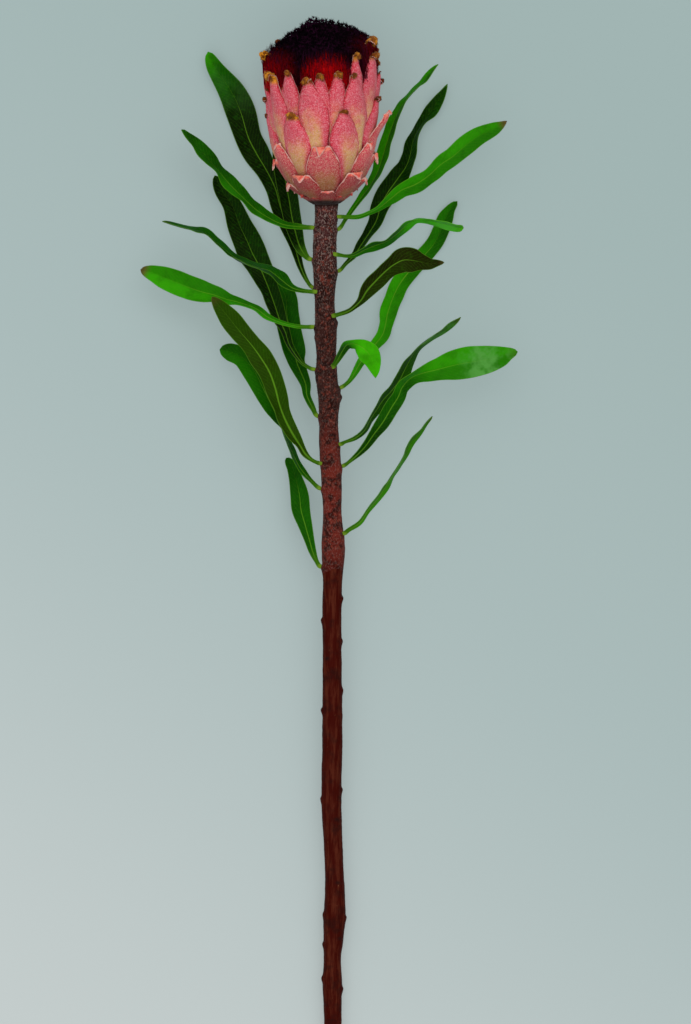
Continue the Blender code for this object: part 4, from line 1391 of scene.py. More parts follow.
class PROTEA_OT_stem(bpy.types.Operator):
    """Build the woody stem with its nodes, scars and cut end"""

    bl_idname = "protea.stem"
    bl_label = "Stem"

    def execute(self, context):
        settings = context.scene.protea_stem
        piece, u, v = start_grid("woody_stem", STEM_AROUND, STEM_ALONG)
        turn = math.pi * u
        y = CUT_END_Y + (NECK_Y + 3.0 - CUT_END_Y) * v
        stations = [(s.y, s.x, s.radius) for s in STEM] + [(NECK_Y + 3.0, -1.1, 7.4)]
        middle = smooth_curve([(s[0], s[1]) for s in stations])(y)
        girth = smooth_curve([(s[0], s[2]) for s in stations])(y)
        rise, dark = self.swellings(y, turn, middle, girth)
        out = np.stack([np.sin(turn), np.zeros_like(turn), np.cos(turn)], axis=1)
        line = np.stack([middle, y, stem_z(y)], axis=1)
        bark = ripple(line + out * girth[:, None], 0.12, 3.0) * 0.22
        bark += ripple(line + out * girth[:, None], 0.45, 7.0) * 0.12
        wall = girth + rise + bark
        points = line + out * wall[:, None]
        points[:, 2] = np.maximum(points[:, 2], 0.0)
        shape(piece, points)
        mark(piece, "scar", dark)
        self.close_ends(piece, settings)
        young = woolly_bark(settings)
        old = smooth_bark(settings)
        centre = (STEM[0].x * MM, CUT_END_Y * MM, CUT_END_Z * MM)
        finish_piece(piece, "bark", (young, old, cut_wood(settings, centre)), "stem")
        core = STEM[0].radius - settings.bark_depth / MM
        for face in piece.data.polygons:
            spot = face.center / MM
            off_axis = math.hypot(spot.x - STEM[0].x, spot.z - CUT_END_Z)
            if face.normal.y < -0.9 and spot.y < CUT_END_Y + 0.5:
                face.material_index = 2 if off_axis < core else 1
            elif spot.y < WOOL_END_Y + 1.2 * math.sin(3.0 * math.atan2(spot.x, spot.z - 15.0)):
                face.material_index = 1
        return {"FINISHED"}

    def swellings(self, y, turn, middle, girth):
        """How far the leaf cushions and scars lift the bark, and how dark it is there."""
        rise = np.zeros_like(y)
        dark = np.zeros_like(y)
        spots = [(s.y, s.azimuth, s.rise, s.dark, 2.2) for s in SCARS]
        spots += [(leaf.root_y - 0.6, leaf.side, 0.9, 0.15, 2.6) for leaf in LEAVES]
        for at, azimuth, height, shade, size in spots:
            aside = np.angle(np.exp(1j * (turn - math.radians(azimuth)))) * girth
            above = y - at
            spread = np.where(above > 0, size * 0.55, size * 1.25)
            lump = np.exp(-((above / spread) ** 2) - (aside / size) ** 2)
            rise += height * lump
            hollow = np.exp(-(((above - 0.9) / 1.1) ** 2) - (aside / (0.8 * size)) ** 2)
            dark = np.maximum(dark, shade * hollow)
        return rise, dark

    def close_ends(self, piece, settings):
        """Sews the tube's seam and closes both ends, with bark, wood and pith at the cut."""
        edit(
            piece,
            lambda: bpy.ops.mesh.select_all(action="SELECT"),
            lambda: bpy.ops.mesh.remove_doubles(threshold=1e-6),
            lambda: bpy.ops.mesh.select_all(action="DESELECT"),
        )
        for top in (True, False):
            self.select_rim(piece, top)
            edit(
                piece,
                lambda: bpy.ops.mesh.select_mode(type="EDGE"),
                lambda: bpy.ops.mesh.edge_face_add(),
            )
        edit(
            piece,
            lambda: bpy.ops.mesh.inset(thickness=settings.bark_depth * 0.5),
            lambda: bpy.ops.mesh.inset(thickness=settings.bark_depth * 0.6, depth=-0.0001),
            lambda: bpy.ops.mesh.inset(thickness=settings.bark_depth * 2.4, depth=0.0002),
            lambda: bpy.ops.mesh.inset(thickness=settings.bark_depth * 1.4, depth=-0.0001),
            lambda: bpy.ops.mesh.poke(),
            lambda: bpy.ops.mesh.select_all(action="SELECT"),
            lambda: bpy.ops.mesh.normals_make_consistent(inside=False),
        )

    def select_rim(self, piece, top):
        mesh = piece.data
        uses = {}
        for face in mesh.polygons:
            for key in face.edge_keys:
                uses[key] = uses.get(key, 0) + 1
        middle = sum(v.co.y for v in mesh.vertices) / len(mesh.vertices)
        for v in mesh.vertices:
            v.select = False
        for face in mesh.polygons:
            face.select = False
        for edge in mesh.edges:
            open_edge = uses.get(edge.key, 0) == 1
            height = mesh.vertices[edge.vertices[0]].co.y
            edge.select = open_edge and (height > middle) == top
            if edge.select:
                for i in edge.vertices:
                    mesh.vertices[i].select = True


class PROTEA_OT_leaves(bpy.types.Operator):
    """Build the twenty leaves, each along its own midrib"""

    bl_idname = "protea.leaves"
    bl_label = "Leaves"

    def execute(self, context):
        settings = context.scene.protea_leaf
        look = leaf_material(settings)
        for number, leaf in enumerate(LEAVES):
            self.add_leaf(settings, look, leaf, number)
        return {"FINISHED"}

    def add_leaf(self, settings, look, leaf, number):
        name = leaf.name.replace("leaf", "blade")
        piece, u, v = start_grid(name, LEAF_ACROSS, LEAF_ALONG)
        rows, reach = smooth_through([*self.root(leaf), *leaf.path], LEAF_ALONG + 1)
        path, width, roll = rows[:, :3], rows[:, 3], np.radians(rows[:, 4])
        along = unit(np.gradient(path, axis=0))
        flat = unit(np.cross(np.array((0.0, 0.0, 1.0)), along))
        up = np.cross(along, flat)
        aside = flat * np.cos(roll)[:, None] + up * np.sin(roll)[:, None]
        face = np.cross(along, aside)
        at = np.rint(v * LEAF_ALONG).astype(int)
        share = reach[at] / reach[-1]
        left = 1.0 - share
        rounding = np.sqrt(np.maximum(0.0, 1 - np.maximum(0.0, 1 - left / TIP_SHARE) ** 2))
        collar = 0.6 * np.exp(-((reach[at] - 7.5) / 2.2) ** 2)
        slim = 0.6 + 0.4 * smooth_step(share / 0.16)
        half = 0.5 * width[at] * np.maximum(rounding, 0.05) * slim + 0.5 * collar
        side = -(u - 0.8 * np.sin(2 * np.pi * u) / (2 * np.pi))
        stalk = 1.0 - smooth_step(share / PETIOLE_SHARE)
        wave = np.sin(reach[at] * 0.27 + number * 1.7) + 0.6 * np.sin(reach[at] * 0.52 + number)
        other = np.sin(reach[at] * 0.23 + number * 2.9) + 0.6 * np.sin(reach[at] * 0.47 + 2 * number)
        waves = np.where(side > 0, wave, other) * np.minimum(half / 6.0, 1.3) * (1 - stalk)
        ruffle = settings.ruffle / MM * waves * np.abs(side) ** 2.2 * np.minimum(left * 9, 1)
        groove = -0.32 * np.exp(-((side * half / 0.7) ** 2)) * (1 - stalk)
        lift = LEAF_FOLD * 2 * half * np.abs(side) ** 1.4 + ruffle + groove
        points = path[at] + aside[at] * (side * half)[:, None] + face[at] * lift[:, None]
        points[:, 2] = np.maximum(points[:, 2], 0.4)
        shape(piece, points)
        mark(piece, "across", side * half)
        mark(piece, "reach", reach[at] - 6.0)
        mark(piece, "edge", np.minimum((1 - np.abs(side)) * half, left * reach[-1]))
        faint = 0.75 * smooth_step((share - 0.55) / 0.35)
        mark(piece, "rib", np.abs(side * half) / ((0.26 + 0.34 * left) * (1 + 0.6 * leaf.olive)) + faint)
        # The tone runs from the leaf's to its tip's: partly its own green, partly painted light and shade along the
        # blade.
        tone = leaf.tone + (leaf.tip_tone - leaf.tone) * smooth_step((share - leaf.turn + 0.18) / 0.36)
        # Painted shade: one half of the blade a little darker than the other, as the halves of a folded leaf take the
        # light differently.
        mark(piece, "tone", tone + 0.1 * np.tanh(side * half) * (-1) ** number)
        mark(piece, "olive", np.full(len(u), leaf.olive))
        mark(piece, "shine", leaf.shine * smooth_step((share - 0.7) / 0.12) * smooth_step(left / 0.08))
        mark(piece, "dry", leaf.dry * smooth_step((0.06 - left) / 0.05) * 0.9)
        round_stalk = np.sqrt(np.maximum(0.05, 1 - 0.92 * side**2))
        blade_share = settings.blade / settings.petiole
        vein = 0.22 * np.exp(-((side * half / 0.8) ** 2)) * (0.3 + left)
        shares = stalk * round_stalk + (1 - stalk) * (blade_share * (1 - 0.45 * side**2) + vein)
        thicken(piece, settings.petiole, shares + 0.35 * collar)
        finish_piece(piece, "leaf_green", (look,), leaf.name)

    def root(self, leaf):
        """From inside the stem, where the bark covers it, out to the end of the petiole."""
        stem = [(s.y, s.x) for s in STEM]
        girth = [(s.y, s.radius) for s in STEM]
        side = math.radians(leaf.side)
        around = smooth_curve(girth)(leaf.root_y)
        rows = []
        for reach, width in ((around - 5.6, 2.4), (around + 0.9, 2.4)):
            x = smooth_curve(stem)(leaf.root_y) + math.sin(side) * reach
            z = stem_z(leaf.root_y) + math.cos(side) * reach
            rows.append((x, leaf.root_y, z, width, 0.0))
        return rows


def fold_steps(row, bract):
    """How far a folded tip has risen and gone out at 41 even steps of its length."""
    turned = np.radians(row.fold.turn) * smooth_step(np.linspace(0, 1, 41) / row.fold.bend)
    step = row.fold.length * bract.curl / 40
    return np.cumsum(np.cos(turned)) * step - step, np.cumsum(np.sin(turned)) * step


def bract_places(planted, settings, u, v):
    """A bract's middle surface at u, side to side, and v, foot to tip, and what is there."""
    row, bract, seed = planted.row, planted.bract, planted.seed
    side = np.sin(0.5 * np.pi * u)
    body = np.clip(v / BODY_SHARE, 0.0, 1.0)
    fold = np.clip((v - BODY_SHARE) / (1 - BODY_SHARE), 0.0, 1.0)
    rises, outs = fold_steps(row, bract)
    steps = np.linspace(0, 1, 41)
    rise, out = np.interp(fold, steps, rises), np.interp(fold, steps, outs)
    height = row.foot + (bract.tip - max(rises) - row.foot) * body
    radius = head_radius(height) - row_depth(planted.depth, height) + planted.raised
    radius = radius + bract.flare * smooth_step((body - 0.55) / 0.45) ** 1.5
    wavy = 1 + 0.05 * np.sin(body * 7.0 + seed * 2.1 + side) * (1 - fold)
    half = 0.5 * bract.width * smooth_curve(row.outline)(body) * wavy
    half = half * (1 + (bract.curl - 1) * smooth_step((body - 0.88) / 0.12))
    half = half * np.maximum(1 - fold**row.fold.point, 0.03) ** 0.8
    lean = bract.foot_azimuth + (bract.tip_azimuth - bract.foot_azimuth) * body
    skew = 0.5 * math.sin(seed * 12.9)
    drift = skew * (row.fold.length * 0.5 * fold**2 + 0.7 * np.sin(math.pi * body))
    azimuth = np.radians(lean) + (side * half + drift) / np.maximum(radius, 6.0)
    arch = settings.bulge / MM * (1 - side**2) - settings.tuck / MM * side**2
    arch = arch * min(bract.width / 18, 1.2) * (1 - 0.85 * fold)
    folded = smooth_step(fold * 3.0)
    shoulder = row.fold.horn * side**4 * smooth_step((body - 0.9) / 0.1) * (1 - fold)
    if row.fold.horn:
        aside = min(abs(bract.tip_azimuth) / 70.0, 1.0) ** 6
        shoulder = shoulder + 1.1 * aside * folded * np.sin(4.5 * side + seed)
    else:
        shoulder = shoulder - 0.5 * side**2 * half * folded
    points = on_head(height + rise + shoulder, azimuth, radius + arch + out)
    crumple = row.fold.crumple * folded * min(bract.curl, 1.3)
    first, second = ripple(points, 0.55, seed * 3.1), ripple(points, 0.95, seed * 5.7 + 20)
    wide = np.abs(side) ** 5 * smooth_step(body * 1.6 - 0.5)
    lift = planted.felt * 0.5 * wide * (1 - folded) + first * (0.18 + 1.3 * crumple) + wide * second * 0.45
    foot, axis, right, front = head_frame()
    outward = points - foot
    outward = unit(outward - axis * (outward @ axis)[..., None])
    points = points + outward * lift[..., None] + axis * (second * crumple * 1.3)[..., None]
    points[..., 2] = np.maximum(points[..., 2], FLOOR_GAP + 0.8 * planted.depth)
    return points, side, body, fold, half


def add_bract(planted, settings):
    piece, u, v = start_grid(planted.name, BRACT_ACROSS, BRACT_ALONG)
    points, side, body, fold, half = bract_places(planted, settings, u, v)
    shape(piece, points)
    length = planted.row.fold.length * planted.bract.curl
    apex = (1 - fold) * length * 0.75 + (fold <= 0) * 9.0
    mark(piece, "reach", body + fold)
    mark(piece, "side", side)
    mark(piece, "edge", np.minimum((1 - np.abs(side)) * half, apex))
    mark(piece, "tone", np.full(len(u), math.sin(planted.seed * 7.3)))
    mark(piece, "gilt", np.full(len(u), planted.bract.gilt))
    folded = smooth_step(fold * 3.0)
    shares = (0.4 + 0.6 * (1 - side**2)) * (0.6 + 0.4 * smooth_step(body * 3)) * (1 - 0.3 * folded)
    thicken(piece, settings.thickness, shares)
    return piece


def planted_row(row, depth, felt, raised=0.0):
    """The bracts of a row, each with the place where it grows."""
    first = 10 * [*ROWS, BASE_ROW, RIM_ROW, SIDE_ROW, LINING_ROW].index(row) + 1
    return [
        Planted(f"{row.name}_bract_{n}", row, bract, depth, first + n, felt, raised + 0.15 * (-1) ** n)
        for n, bract in enumerate(row.bracts, 1)
    ]


def add_row(row, depth, felt, settings, looks):
    """Every bract of a row, as a piece of its own in its body's place."""
    for planted in planted_row(row, depth, felt):
        piece = add_bract(planted, settings)
        places = places_of(piece) / MM
        height, azimuth, _ = head_place(places)
        mark(piece, "warmth", redness(height + 4.0 * ripple(places, 0.5, 2.0), azimuth))
        look, slot = looks.get(planted.name, looks["row"])
        finish_piece(piece, slot, (look,), "bract_" + planted.name.replace("_bract", ""))


def add_extras(name, row, depth, felt, raised, settings, look, slot):
    """The bracts of a row that has no bodies of its own, joined into one piece."""
    pieces = [add_bract(planted, settings) for planted in planted_row(row, depth, felt, raised)]
    finish_piece(join(name, pieces), slot, (look,))


class PROTEA_OT_outer_bracts(bpy.types.Operator):
    """Build the low, broad bracts with felted rims, and the tiny ones under them"""

    bl_idname = "protea.outer_bracts"
    bl_label = "Outer Bracts"

    def execute(self, context):
        settings = context.scene.protea_bract
        look = dusty_look(settings)
        looks = {"row": (look, "bract_dusty")}
        add_row(ROWS[0], 0, 1.0, settings, looks)
        add_row(ROWS[1], 1, 1.0, settings, looks)
        add_extras("basal_scales", BASE_ROW, 0, 1.0, 0.6, settings, look, "bract_dusty")
        return {"FINISHED"}


class PROTEA_OT_petal_bracts(bpy.types.Operator):
    """Build the pink bracts with dry, golden tips"""

    bl_idname = "protea.petal_bracts"
    bl_label = "Pink Bracts"

    def execute(self, context):
        settings = context.scene.protea_bract
        look = velvet(
            "pink bract", settings, tuple(settings.pink), tuple(settings.cream),
            tuple(settings.golden), tuple(settings.brown), tuple(settings.down), 0.42, 0.66, 0.1, -0.95,
        )
        looks = {
            "row": (look, "bract_pink"),
            "lower_bract_3": (dusty_look(settings), "bract_dusty"),
            "upper_bract_8": (crimson_look(settings), "bract_crimson"),
        }
        for depth in (2, 3, 4):
            add_row(ROWS[depth], depth, 0.0, settings, looks)
        add_extras("rim_bracts", RIM_ROW, 5, 0.0, 0.9, settings, look, "bract_pink")
        add_extras("side_bracts", SIDE_ROW, 4, 0.0, 0.8, settings, look, "bract_pink")
        add_extras("lining_bracts", LINING_ROW, 5, 0.0, 0.5, settings, look, "bract_pink")
        return {"FINISHED"}


def dusty_look(settings):
    if "dusty bract" in bpy.data.materials:
        return bpy.data.materials["dusty bract"]
    return velvet(
        "dusty bract", settings, tuple(settings.dusty), tuple(settings.tan),
        tuple(settings.coral), tuple(settings.coral_shade), tuple(settings.low_down), 0.58, 0.52, 0.42, 1.2,
    )


def crimson_look(settings):
    """Inner bract: crimson fibres that run up into the black beard."""
    if "inner bract" in bpy.data.materials:
        return bpy.data.materials["inner bract"]
    made, tree, shader = new_material("inner bract", Specular_IOR_Level=0.06, Roughness=0.85)
    places = object_places(tree)
    drawn = stretched(tree, places, (1.0, 0.16, 0.8))
    fibres, _ = mottled(tree, drawn, 900.0, tuple(settings.crimson), (0.05, 0.0, 0.008), 0.8, 0.44, 0.62)
    fibres, _ = mottled(tree, drawn, 420.0, fibres, (0.62, 0.02, 0.03), 0.35, 0.5, 0.7)
    skin = blend(tree, read(tree, "warmth"), (0.003, 0.001, 0.003), fibres)
    tip, _ = mottled(tree, places, 420.0, tuple(settings.golden), tuple(settings.brown), 0.9, 0.42, 0.56)
    folded = maths(tree, "MULTIPLY", fade(tree, read(tree, "reach"), 0.95, 1.02), fade(tree, read(tree, "gilt"), 0.8, 0.95))
    skin = blend(tree, folded, skin, tip)
    grain = relief(tree, drawn, 1500.0, 500.0, 0.8, 0.7, 0.0005)
    feed(tree, shader, Base_Color=skin, Normal=grain)
    return made


class PROTEA_OT_inner_bracts(bpy.types.Operator):
    """Build the crimson bracts that stand round the florets"""

    bl_idname = "protea.inner_bracts"
    bl_label = "Inner Bracts"

    def execute(self, context):
        settings = context.scene.protea_bract
        add_row(ROWS[5], 5, 0.0, settings, {"row": (crimson_look(settings), "bract_crimson")})
        return {"FINISHED"}


def head_place(points):
    """The height, azimuth and radius of points on the head."""
    foot, axis, right, front = head_frame()
    reach = points - foot
    return reach @ axis, np.arctan2(reach @ right, reach @ front), np.hypot(reach @ right, reach @ front)


def redness(height, azimuth):
    """How red the beard and inner bracts are: bright low on the front, black above and in a tongue."""
    middle = (azimuth - 0.10) / 0.52
    front = np.exp(-(middle**6)) * smooth_step((94.0 - 8.0 * middle**2 - height) / 9.0)
    left = 0.75 * np.exp(-(((azimuth + 1.08) / 0.42) ** 2)) * smooth_step((96.0 - height) / 12.0)
    right = 0.28 * np.exp(-(((azimuth - 1.25) / 0.36) ** 2)) * smooth_step((103.0 - height) / 10.0)
    back = 0.40 * smooth_step((np.abs(azimuth) - 1.7) / 0.5) * smooth_step((95.0 - height) / 8.0)
    low = 0.8 * smooth_step((77.0 - height) / 7.0)
    tongue = np.exp(-(((azimuth + 0.45) / 0.12) ** 2)) * smooth_step((height - 69.0) / 6.0)
    return np.max([front, left, right, back, low], axis=0) * (1 - 0.9 * tongue)


def dome_point(height, azimuth, closing=1.0):
    radius = np.maximum(DOME_RADIUS(height) + DOME_SKEW(height) * np.sin(azimuth), 0.0)
    return on_head(height, azimuth, radius * closing)


class PROTEA_OT_florets(bpy.types.Operator):
    """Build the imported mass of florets"""

    bl_idname = "protea.florets"
    bl_label = "Florets"

    def execute(self, context):
        settings = context.scene.protea_floret
        bpy.ops.object.select_all(action="DESELECT")
        bpy.ops.mesh.primitive_uv_sphere_add(segments=72, ring_count=60, radius=1.0)
        piece = bpy.context.active_object
        piece.name = piece.data.name = "packed_florets"
        ball = places_of(piece)
        foot, top = DOME[0][0], DOME[-1][0]
        height = foot + (top - foot) * (ball[:, 2] + 1) / 2
        azimuth = np.arctan2(ball[:, 0], ball[:, 1])
        closing = np.sqrt(np.clip((height - foot) / 4.0, 0, 1))
        lumps = dome_point(height, azimuth)
        swell = 1 + (ripple(lumps, 0.5, 4.0) * 1.0 + ripple(lumps, 0.2, 9.0) * 0.6) / 28
        shape(piece, dome_point(height, azimuth, closing * swell))
        mark(piece, "warmth", redness(height, azimuth))
        edit(
            piece,
            lambda: bpy.ops.mesh.select_all(action="SELECT"),
            lambda: bpy.ops.mesh.normals_make_consistent(inside=False),
        )
        finish_piece(piece, "floret_hair", (floret_material(settings),), "florets")
        return {"FINISHED"}


def dome_spots(count, low, high):
    """Heights and azimuths spread evenly over the dome between two heights."""
    fine = np.linspace(low, high, 400)
    radius = DOME_RADIUS(fine)
    slant = np.hypot(np.diff(fine), np.diff(radius))
    area = np.concatenate([[0], np.cumsum(slant * 0.5 * (radius[1:] + radius[:-1]))])
    share = (np.arange(count) + 0.5) / count
    turn = np.arange(count) * GOLDEN_TURN
    return np.interp(share * area[-1], area, fine), np.angle(np.exp(1j * turn))


def dome_frame(height, azimuth):
    """The point and the outward way on the dome."""
    point = dome_point(height, azimuth)
    up = unit(dome_point(height + 0.3, azimuth) - point)
    around = unit(dome_point(height, azimuth + 0.01) - point)
    return point, unit(np.cross(around, up))


class PROTEA_OT_beard(bpy.types.Operator):
    """Grow the beard: tufts on the crown, a fringe on the inner bracts, down on the bracts"""

    bl_idname = "protea.beard"
    bl_label = "Beard"

    def execute(self, context):
        settings = context.scene.protea_floret
        bract = context.scene.protea_bract
        dark = hair_material("beard", tuple(settings.black), tuple(settings.purple), tuple(settings.red))
        dry = hair_material("dry tip hair", tuple(bract.brown), tuple(bract.golden))
        pale = hair_material("rim hair", tuple(bract.margin), tuple(bract.felt))
        finish_piece(self.crown(settings), "floret_hair", (dark,))
        finish_piece(self.fringe(settings), "floret_hair", (dark,))
        finish_piece(self.tips(bract), "bract_pink", (dry,))
        finish_piece(self.rims(bract), "bract_dusty", (pale,))
        stem = context.scene.protea_stem
        wool = hair_material("stem wool", tuple(stem.young_bark), tuple(stem.wool))
        finish_piece(self.wool(), "bark", (wool,))
        return {"FINISHED"}

    def wool(self):
        """Short wool on the young part of the stem, thicker towards the flower."""
        dice = np.random.RandomState(53)
        count = 3000
        y = 193.0 - 130.0 * dice.uniform(0, 1, count) ** 1.3
        turn = dice.uniform(-math.pi, math.pi, count)
        middle = smooth_curve([(s.y, s.x) for s in STEM])(y)
        girth = smooth_curve([(s.y, s.radius) for s in STEM])(y)
        out = np.stack([np.sin(turn), np.zeros_like(turn), np.cos(turn)], axis=1)
        roots = np.stack([middle, y, stem_z(y)], axis=1) + out * girth[:, None]
        ways = out + dice.normal(0, 0.5, roots.shape)
        lengths = dice.uniform(0.4, 1.1, count)
        tones = dice.uniform(0.2, 0.75, count)
        return add_hairs("stem_wool", roots, ways, lengths, dice.normal(0, 0.3, roots.shape), 0.07, tones, None)

    def crown(self, settings):
        """Star-shaped tufts all over the dome."""
        dice = np.random.RandomState(11)
        height, azimuth = dome_spots(settings.tufts, 86.0, DOME[-1][0] - 0.1)
        bare = redness(height, azimuth) * (np.abs(azimuth) < 1.6)
        height, azimuth = height[bare < 0.25], azimuth[bare < 0.25]
        point, normal = dome_frame(height, azimuth)
        foot, axis, right, front = head_frame()
        way = unit(0.8 * normal + 0.45 * axis + dice.normal(0, 0.12, (len(height), 3)))
        aside = (point - foot) @ right
        ahead = (point - foot) @ front
        peak = 2.8 * np.exp(-(((aside + 4.0) / 4.4) ** 2) - (ahead / 8.0) ** 2)
        stalk = dice.uniform(-0.4, 1.9, len(height)) + peak * dice.uniform(0.2, 1.0, len(height))
        count = settings.hairs
        roots = np.repeat(point + way * stalk[:, None], count, axis=0)
        roots = roots + dice.normal(0, 0.12, roots.shape)
        ways = unit(0.7 * np.repeat(way, count, axis=0) + dice.normal(0, 0.7, roots.shape))
        lengths = settings.hair_length / MM * dice.uniform(0.5, 1.2, len(roots))
        bends = dice.normal(0, 0.2, roots.shape)
        tones = np.repeat(dice.uniform(0, 0.7, len(height)), count) + dice.uniform(0, 0.3, len(roots))
        warmth = dice.uniform(0.3, 1.0, len(roots))
        return add_hairs("crown_beard", roots, ways, lengths, bends, settings.hair_width / MM, tones, warmth)

    def fringe(self, settings):
        """Long fibres that stream up the outside of the inner bracts."""
        dice = np.random.RandomState(23)
        foot, axis, right, front = head_frame()
        heights, azimuths = [], []
        for bract in ROWS[5].bracts:
            aside = dice.uniform(-1, 1, 900)
            heights.append(min(bract.tip, 92.0) + 1.5 - 20.0 * dice.uniform(0, 1, 900) - 5.0 * aside**4)
            azimuths.append(math.radians(bract.tip_azimuth) + aside * 0.5 * bract.width / 31.0)
        height, azimuth = np.concatenate(heights), np.concatenate(azimuths)
        out = np.sin(azimuth)[:, None] * right + np.cos(azimuth)[:, None] * front
        radius = head_radius(height) - row_depth(5, height) + dice.uniform(0.6, 2.0, len(height))
        roots = on_head(height, azimuth, radius)
        ways = axis + out * dice.uniform(-0.02, 0.2, len(roots))[:, None] + dice.normal(0, 0.07, roots.shape)
        bends = -out * dice.uniform(0.05, 0.35, len(roots))[:, None] + dice.normal(0, 0.05, roots.shape)
        lengths = dice.uniform(4.5, 8.5, len(roots)) * (1 - 0.4 * smooth_step((height - 90) / 8))
        ceiling = 99.0 - 5.0 * np.clip(-np.sin(azimuth), 0, 1) ** 3 + dice.normal(0, 0.8, len(roots))
        lengths = np.clip(ceiling - height, 1.0, lengths)
        tones = dice.uniform(0, 1, len(roots))
        warmth = dice.uniform(0.35, 1.1, len(roots)).clip(0, 1)
        return add_hairs("fringe_beard", roots, ways, lengths, bends, 0.19, tones, warmth)

    def tips(self, settings):
        """Short stiff hairs all over the dry tips."""
        dice = np.random.RandomState(37)
        roots, ways, tones = [], [], []
        rows = [p for depth in (2, 3, 4) for p in planted_row(ROWS[depth], depth, 0.0)]
        for planted in rows + planted_row(RIM_ROW, 5, 0.0, 0.9):
            if planted.name == "lower_bract_3":
                continue
            count = int(55 * planted.bract.curl)
            u = dice.uniform(-1, 1, count)
            v = BODY_SHARE + (1 - BODY_SHARE) * dice.uniform(0.1, 0.98, count)
            spots = bract_places(planted, settings, u, v)[0]
            roots.append(spots)
            ways.append(unit(spots - spots.mean(axis=0)) + dice.normal(0, 0.45, spots.shape))
            tones.append(dice.uniform(0, 0.6, count) + 0.4 * planted.bract.gilt)
        roots, ways, tones = (np.concatenate(x) for x in (roots, ways, tones))
        lengths = dice.uniform(0.6, 1.4, len(roots))
        return add_hairs("tip_hairs", roots, ways, lengths, dice.normal(0, 0.3, roots.shape), 0.13, tones, None)

    def rims(self, settings):
        """Pale down along the margins of the bracts."""
        dice = np.random.RandomState(41)
        roots, ways, tones, lengths = [], [], [], []
        low = planted_row(ROWS[0], 0, 1.0) + planted_row(ROWS[1], 1, 1.0) + planted_row(BASE_ROW, 0, 1.0, 0.6)
        high = [p for depth in (2, 3, 4) for p in planted_row(ROWS[depth], depth, 0.0)]
        for planted in low + high:
            pale = planted in low
            count = 170 if pale else 40
            u = dice.choice((-1.0, 1.0), count)
            top = 1.0 if pale else BODY_SHARE
            v = top * dice.uniform(0.12, 0.99, count)
            edge = bract_places(planted, settings, u, v)[0]
            within = bract_places(planted, settings, u * 0.93, v)[0]
            roots.append(edge)
            ways.append(unit(edge - within) + dice.normal(0, 0.45, edge.shape))
            tones.append(dice.uniform(0.3, 0.95, count) if pale else dice.uniform(0, 0.3, count))
            lengths.append(dice.uniform(0.4, 1.0, count) * (1.0 if pale else 0.8))
        roots, ways, tones, lengths = (np.concatenate(x) for x in (roots, ways, tones, lengths))
        return add_hairs("rim_hairs", roots, ways, lengths, dice.normal(0, 0.3, roots.shape), 0.09, tones, None)


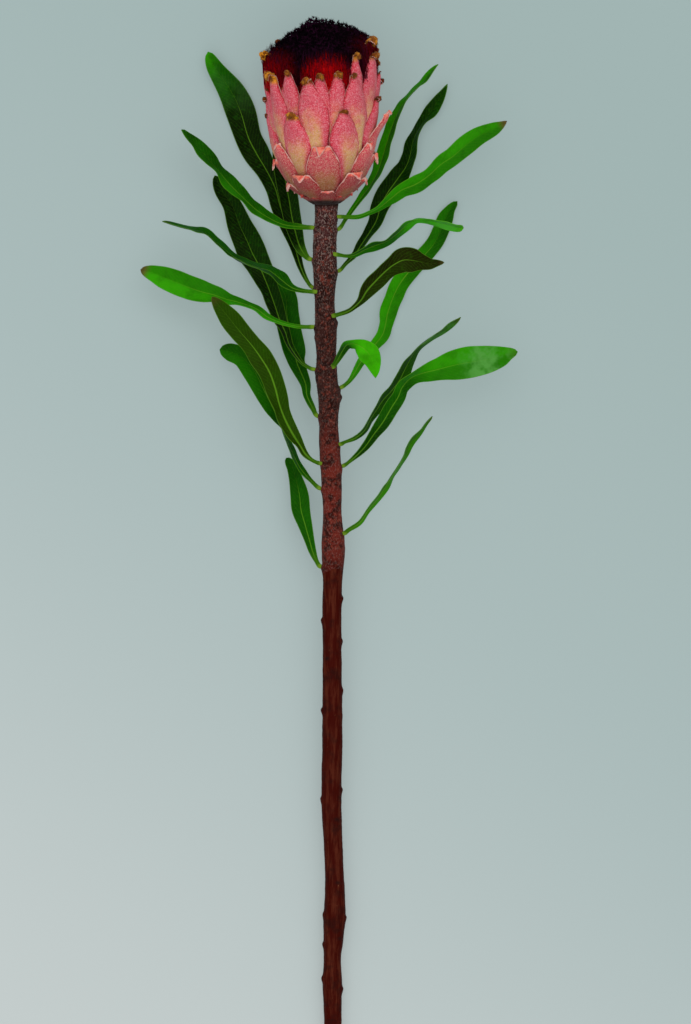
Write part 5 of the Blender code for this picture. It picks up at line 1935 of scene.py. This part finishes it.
class PROTEA_OT_stage(bpy.types.Operator):
    """Lay the floor and set the lights and the camera"""

    bl_idname = "protea.stage"
    bl_label = "Stage"

    def execute(self, context):
        settings = context.scene.protea_stage
        bpy.ops.object.select_all(action="DESELECT")
        bpy.ops.mesh.primitive_plane_add(size=14.0, location=(0.0, 0.0, 0.0))
        floor = bpy.context.active_object
        floor.name = "floor"
        floor.data.materials.append(floor_material(settings))
        for name, place, size, power in (
            ("key", (-0.9, 0.8, 2.0), 2.8, settings.key),
            ("right", (1.1, 0.3, 1.9), 2.4, settings.fill),
            ("near", (-0.3, -1.3, 2.0), 2.4, settings.fill),
            ("far", (0.4, 1.5, 1.7), 2.2, settings.fill),
        ):
            bpy.ops.object.light_add(type="AREA", location=place)
            light = bpy.context.active_object
            light.name = name
            light.data.shape = "DISK"
            light.data.size = size
            light.data.energy = power
            light.rotation_euler = (-Vector(place)).to_track_quat("-Z", "Y").to_euler()
        world = bpy.data.worlds.new("studio")
        world.use_nodes = True
        backdrop = world.node_tree.nodes["Background"]
        backdrop.inputs["Color"].default_value = (0.86, 0.93, 0.94, 1.0)
        backdrop.inputs["Strength"].default_value = settings.sky
        context.scene.world = world
        context.scene.view_settings.view_transform = "Standard"
        bpy.ops.object.camera_add(location=(0.0102, 0.0129, settings.distance), rotation=(0.0, 0.0, 0.0))
        camera = bpy.context.active_object
        lens = camera.data
        lens.sensor_width = 36.0
        lens.lens = lens.sensor_width * (settings.distance - HEAD_FOOT[2] * MM) / settings.view_height
        lens.clip_end = 60.0
        context.scene.camera = camera
        return {"FINISHED"}


class PROTEA_PT_panel(bpy.types.Panel):
    """The protea's pieces and their sizes and colours"""

    bl_idname = "PROTEA_PT_panel"
    bl_label = "Protea Flower"
    bl_space_type = "VIEW_3D"
    bl_region_type = "UI"
    bl_category = "Protea"

    def draw(self, context):
        for kind in OPERATORS:
            self.layout.operator(kind.bl_idname)
        for key, kind in SETTINGS.items():
            box = self.layout.box()
            for field in kind.__annotations__:
                box.prop(getattr(context.scene, key), field)


OPERATORS = (
    PROTEA_OT_stem,
    PROTEA_OT_leaves,
    PROTEA_OT_outer_bracts,
    PROTEA_OT_petal_bracts,
    PROTEA_OT_inner_bracts,
    PROTEA_OT_florets,
    PROTEA_OT_beard,
    PROTEA_OT_stage,
)
SETTINGS = {
    "protea_stem": StemSettings,
    "protea_leaf": LeafSettings,
    "protea_bract": BractSettings,
    "protea_floret": FloretSettings,
    "protea_stage": StageSettings,
}


def register():
    for kind in (*SETTINGS.values(), *OPERATORS, PROTEA_PT_panel):
        bpy.utils.register_class(kind)
    for key, kind in SETTINGS.items():
        setattr(bpy.types.Scene, key, bpy.props.PointerProperty(type=kind))


def unregister():
    for key in SETTINGS:
        delattr(bpy.types.Scene, key)
    for kind in reversed((*SETTINGS.values(), *OPERATORS, PROTEA_PT_panel)):
        bpy.utils.unregister_class(kind)


def main():
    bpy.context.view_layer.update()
    register()
    bpy.ops.protea.stem()
    bpy.ops.protea.leaves()
    bpy.ops.protea.outer_bracts()
    bpy.ops.protea.petal_bracts()
    bpy.ops.protea.inner_bracts()
    bpy.ops.protea.florets()
    bpy.ops.protea.beard()
    bpy.ops.protea.stage()


if __name__ == "__main__":
    main()
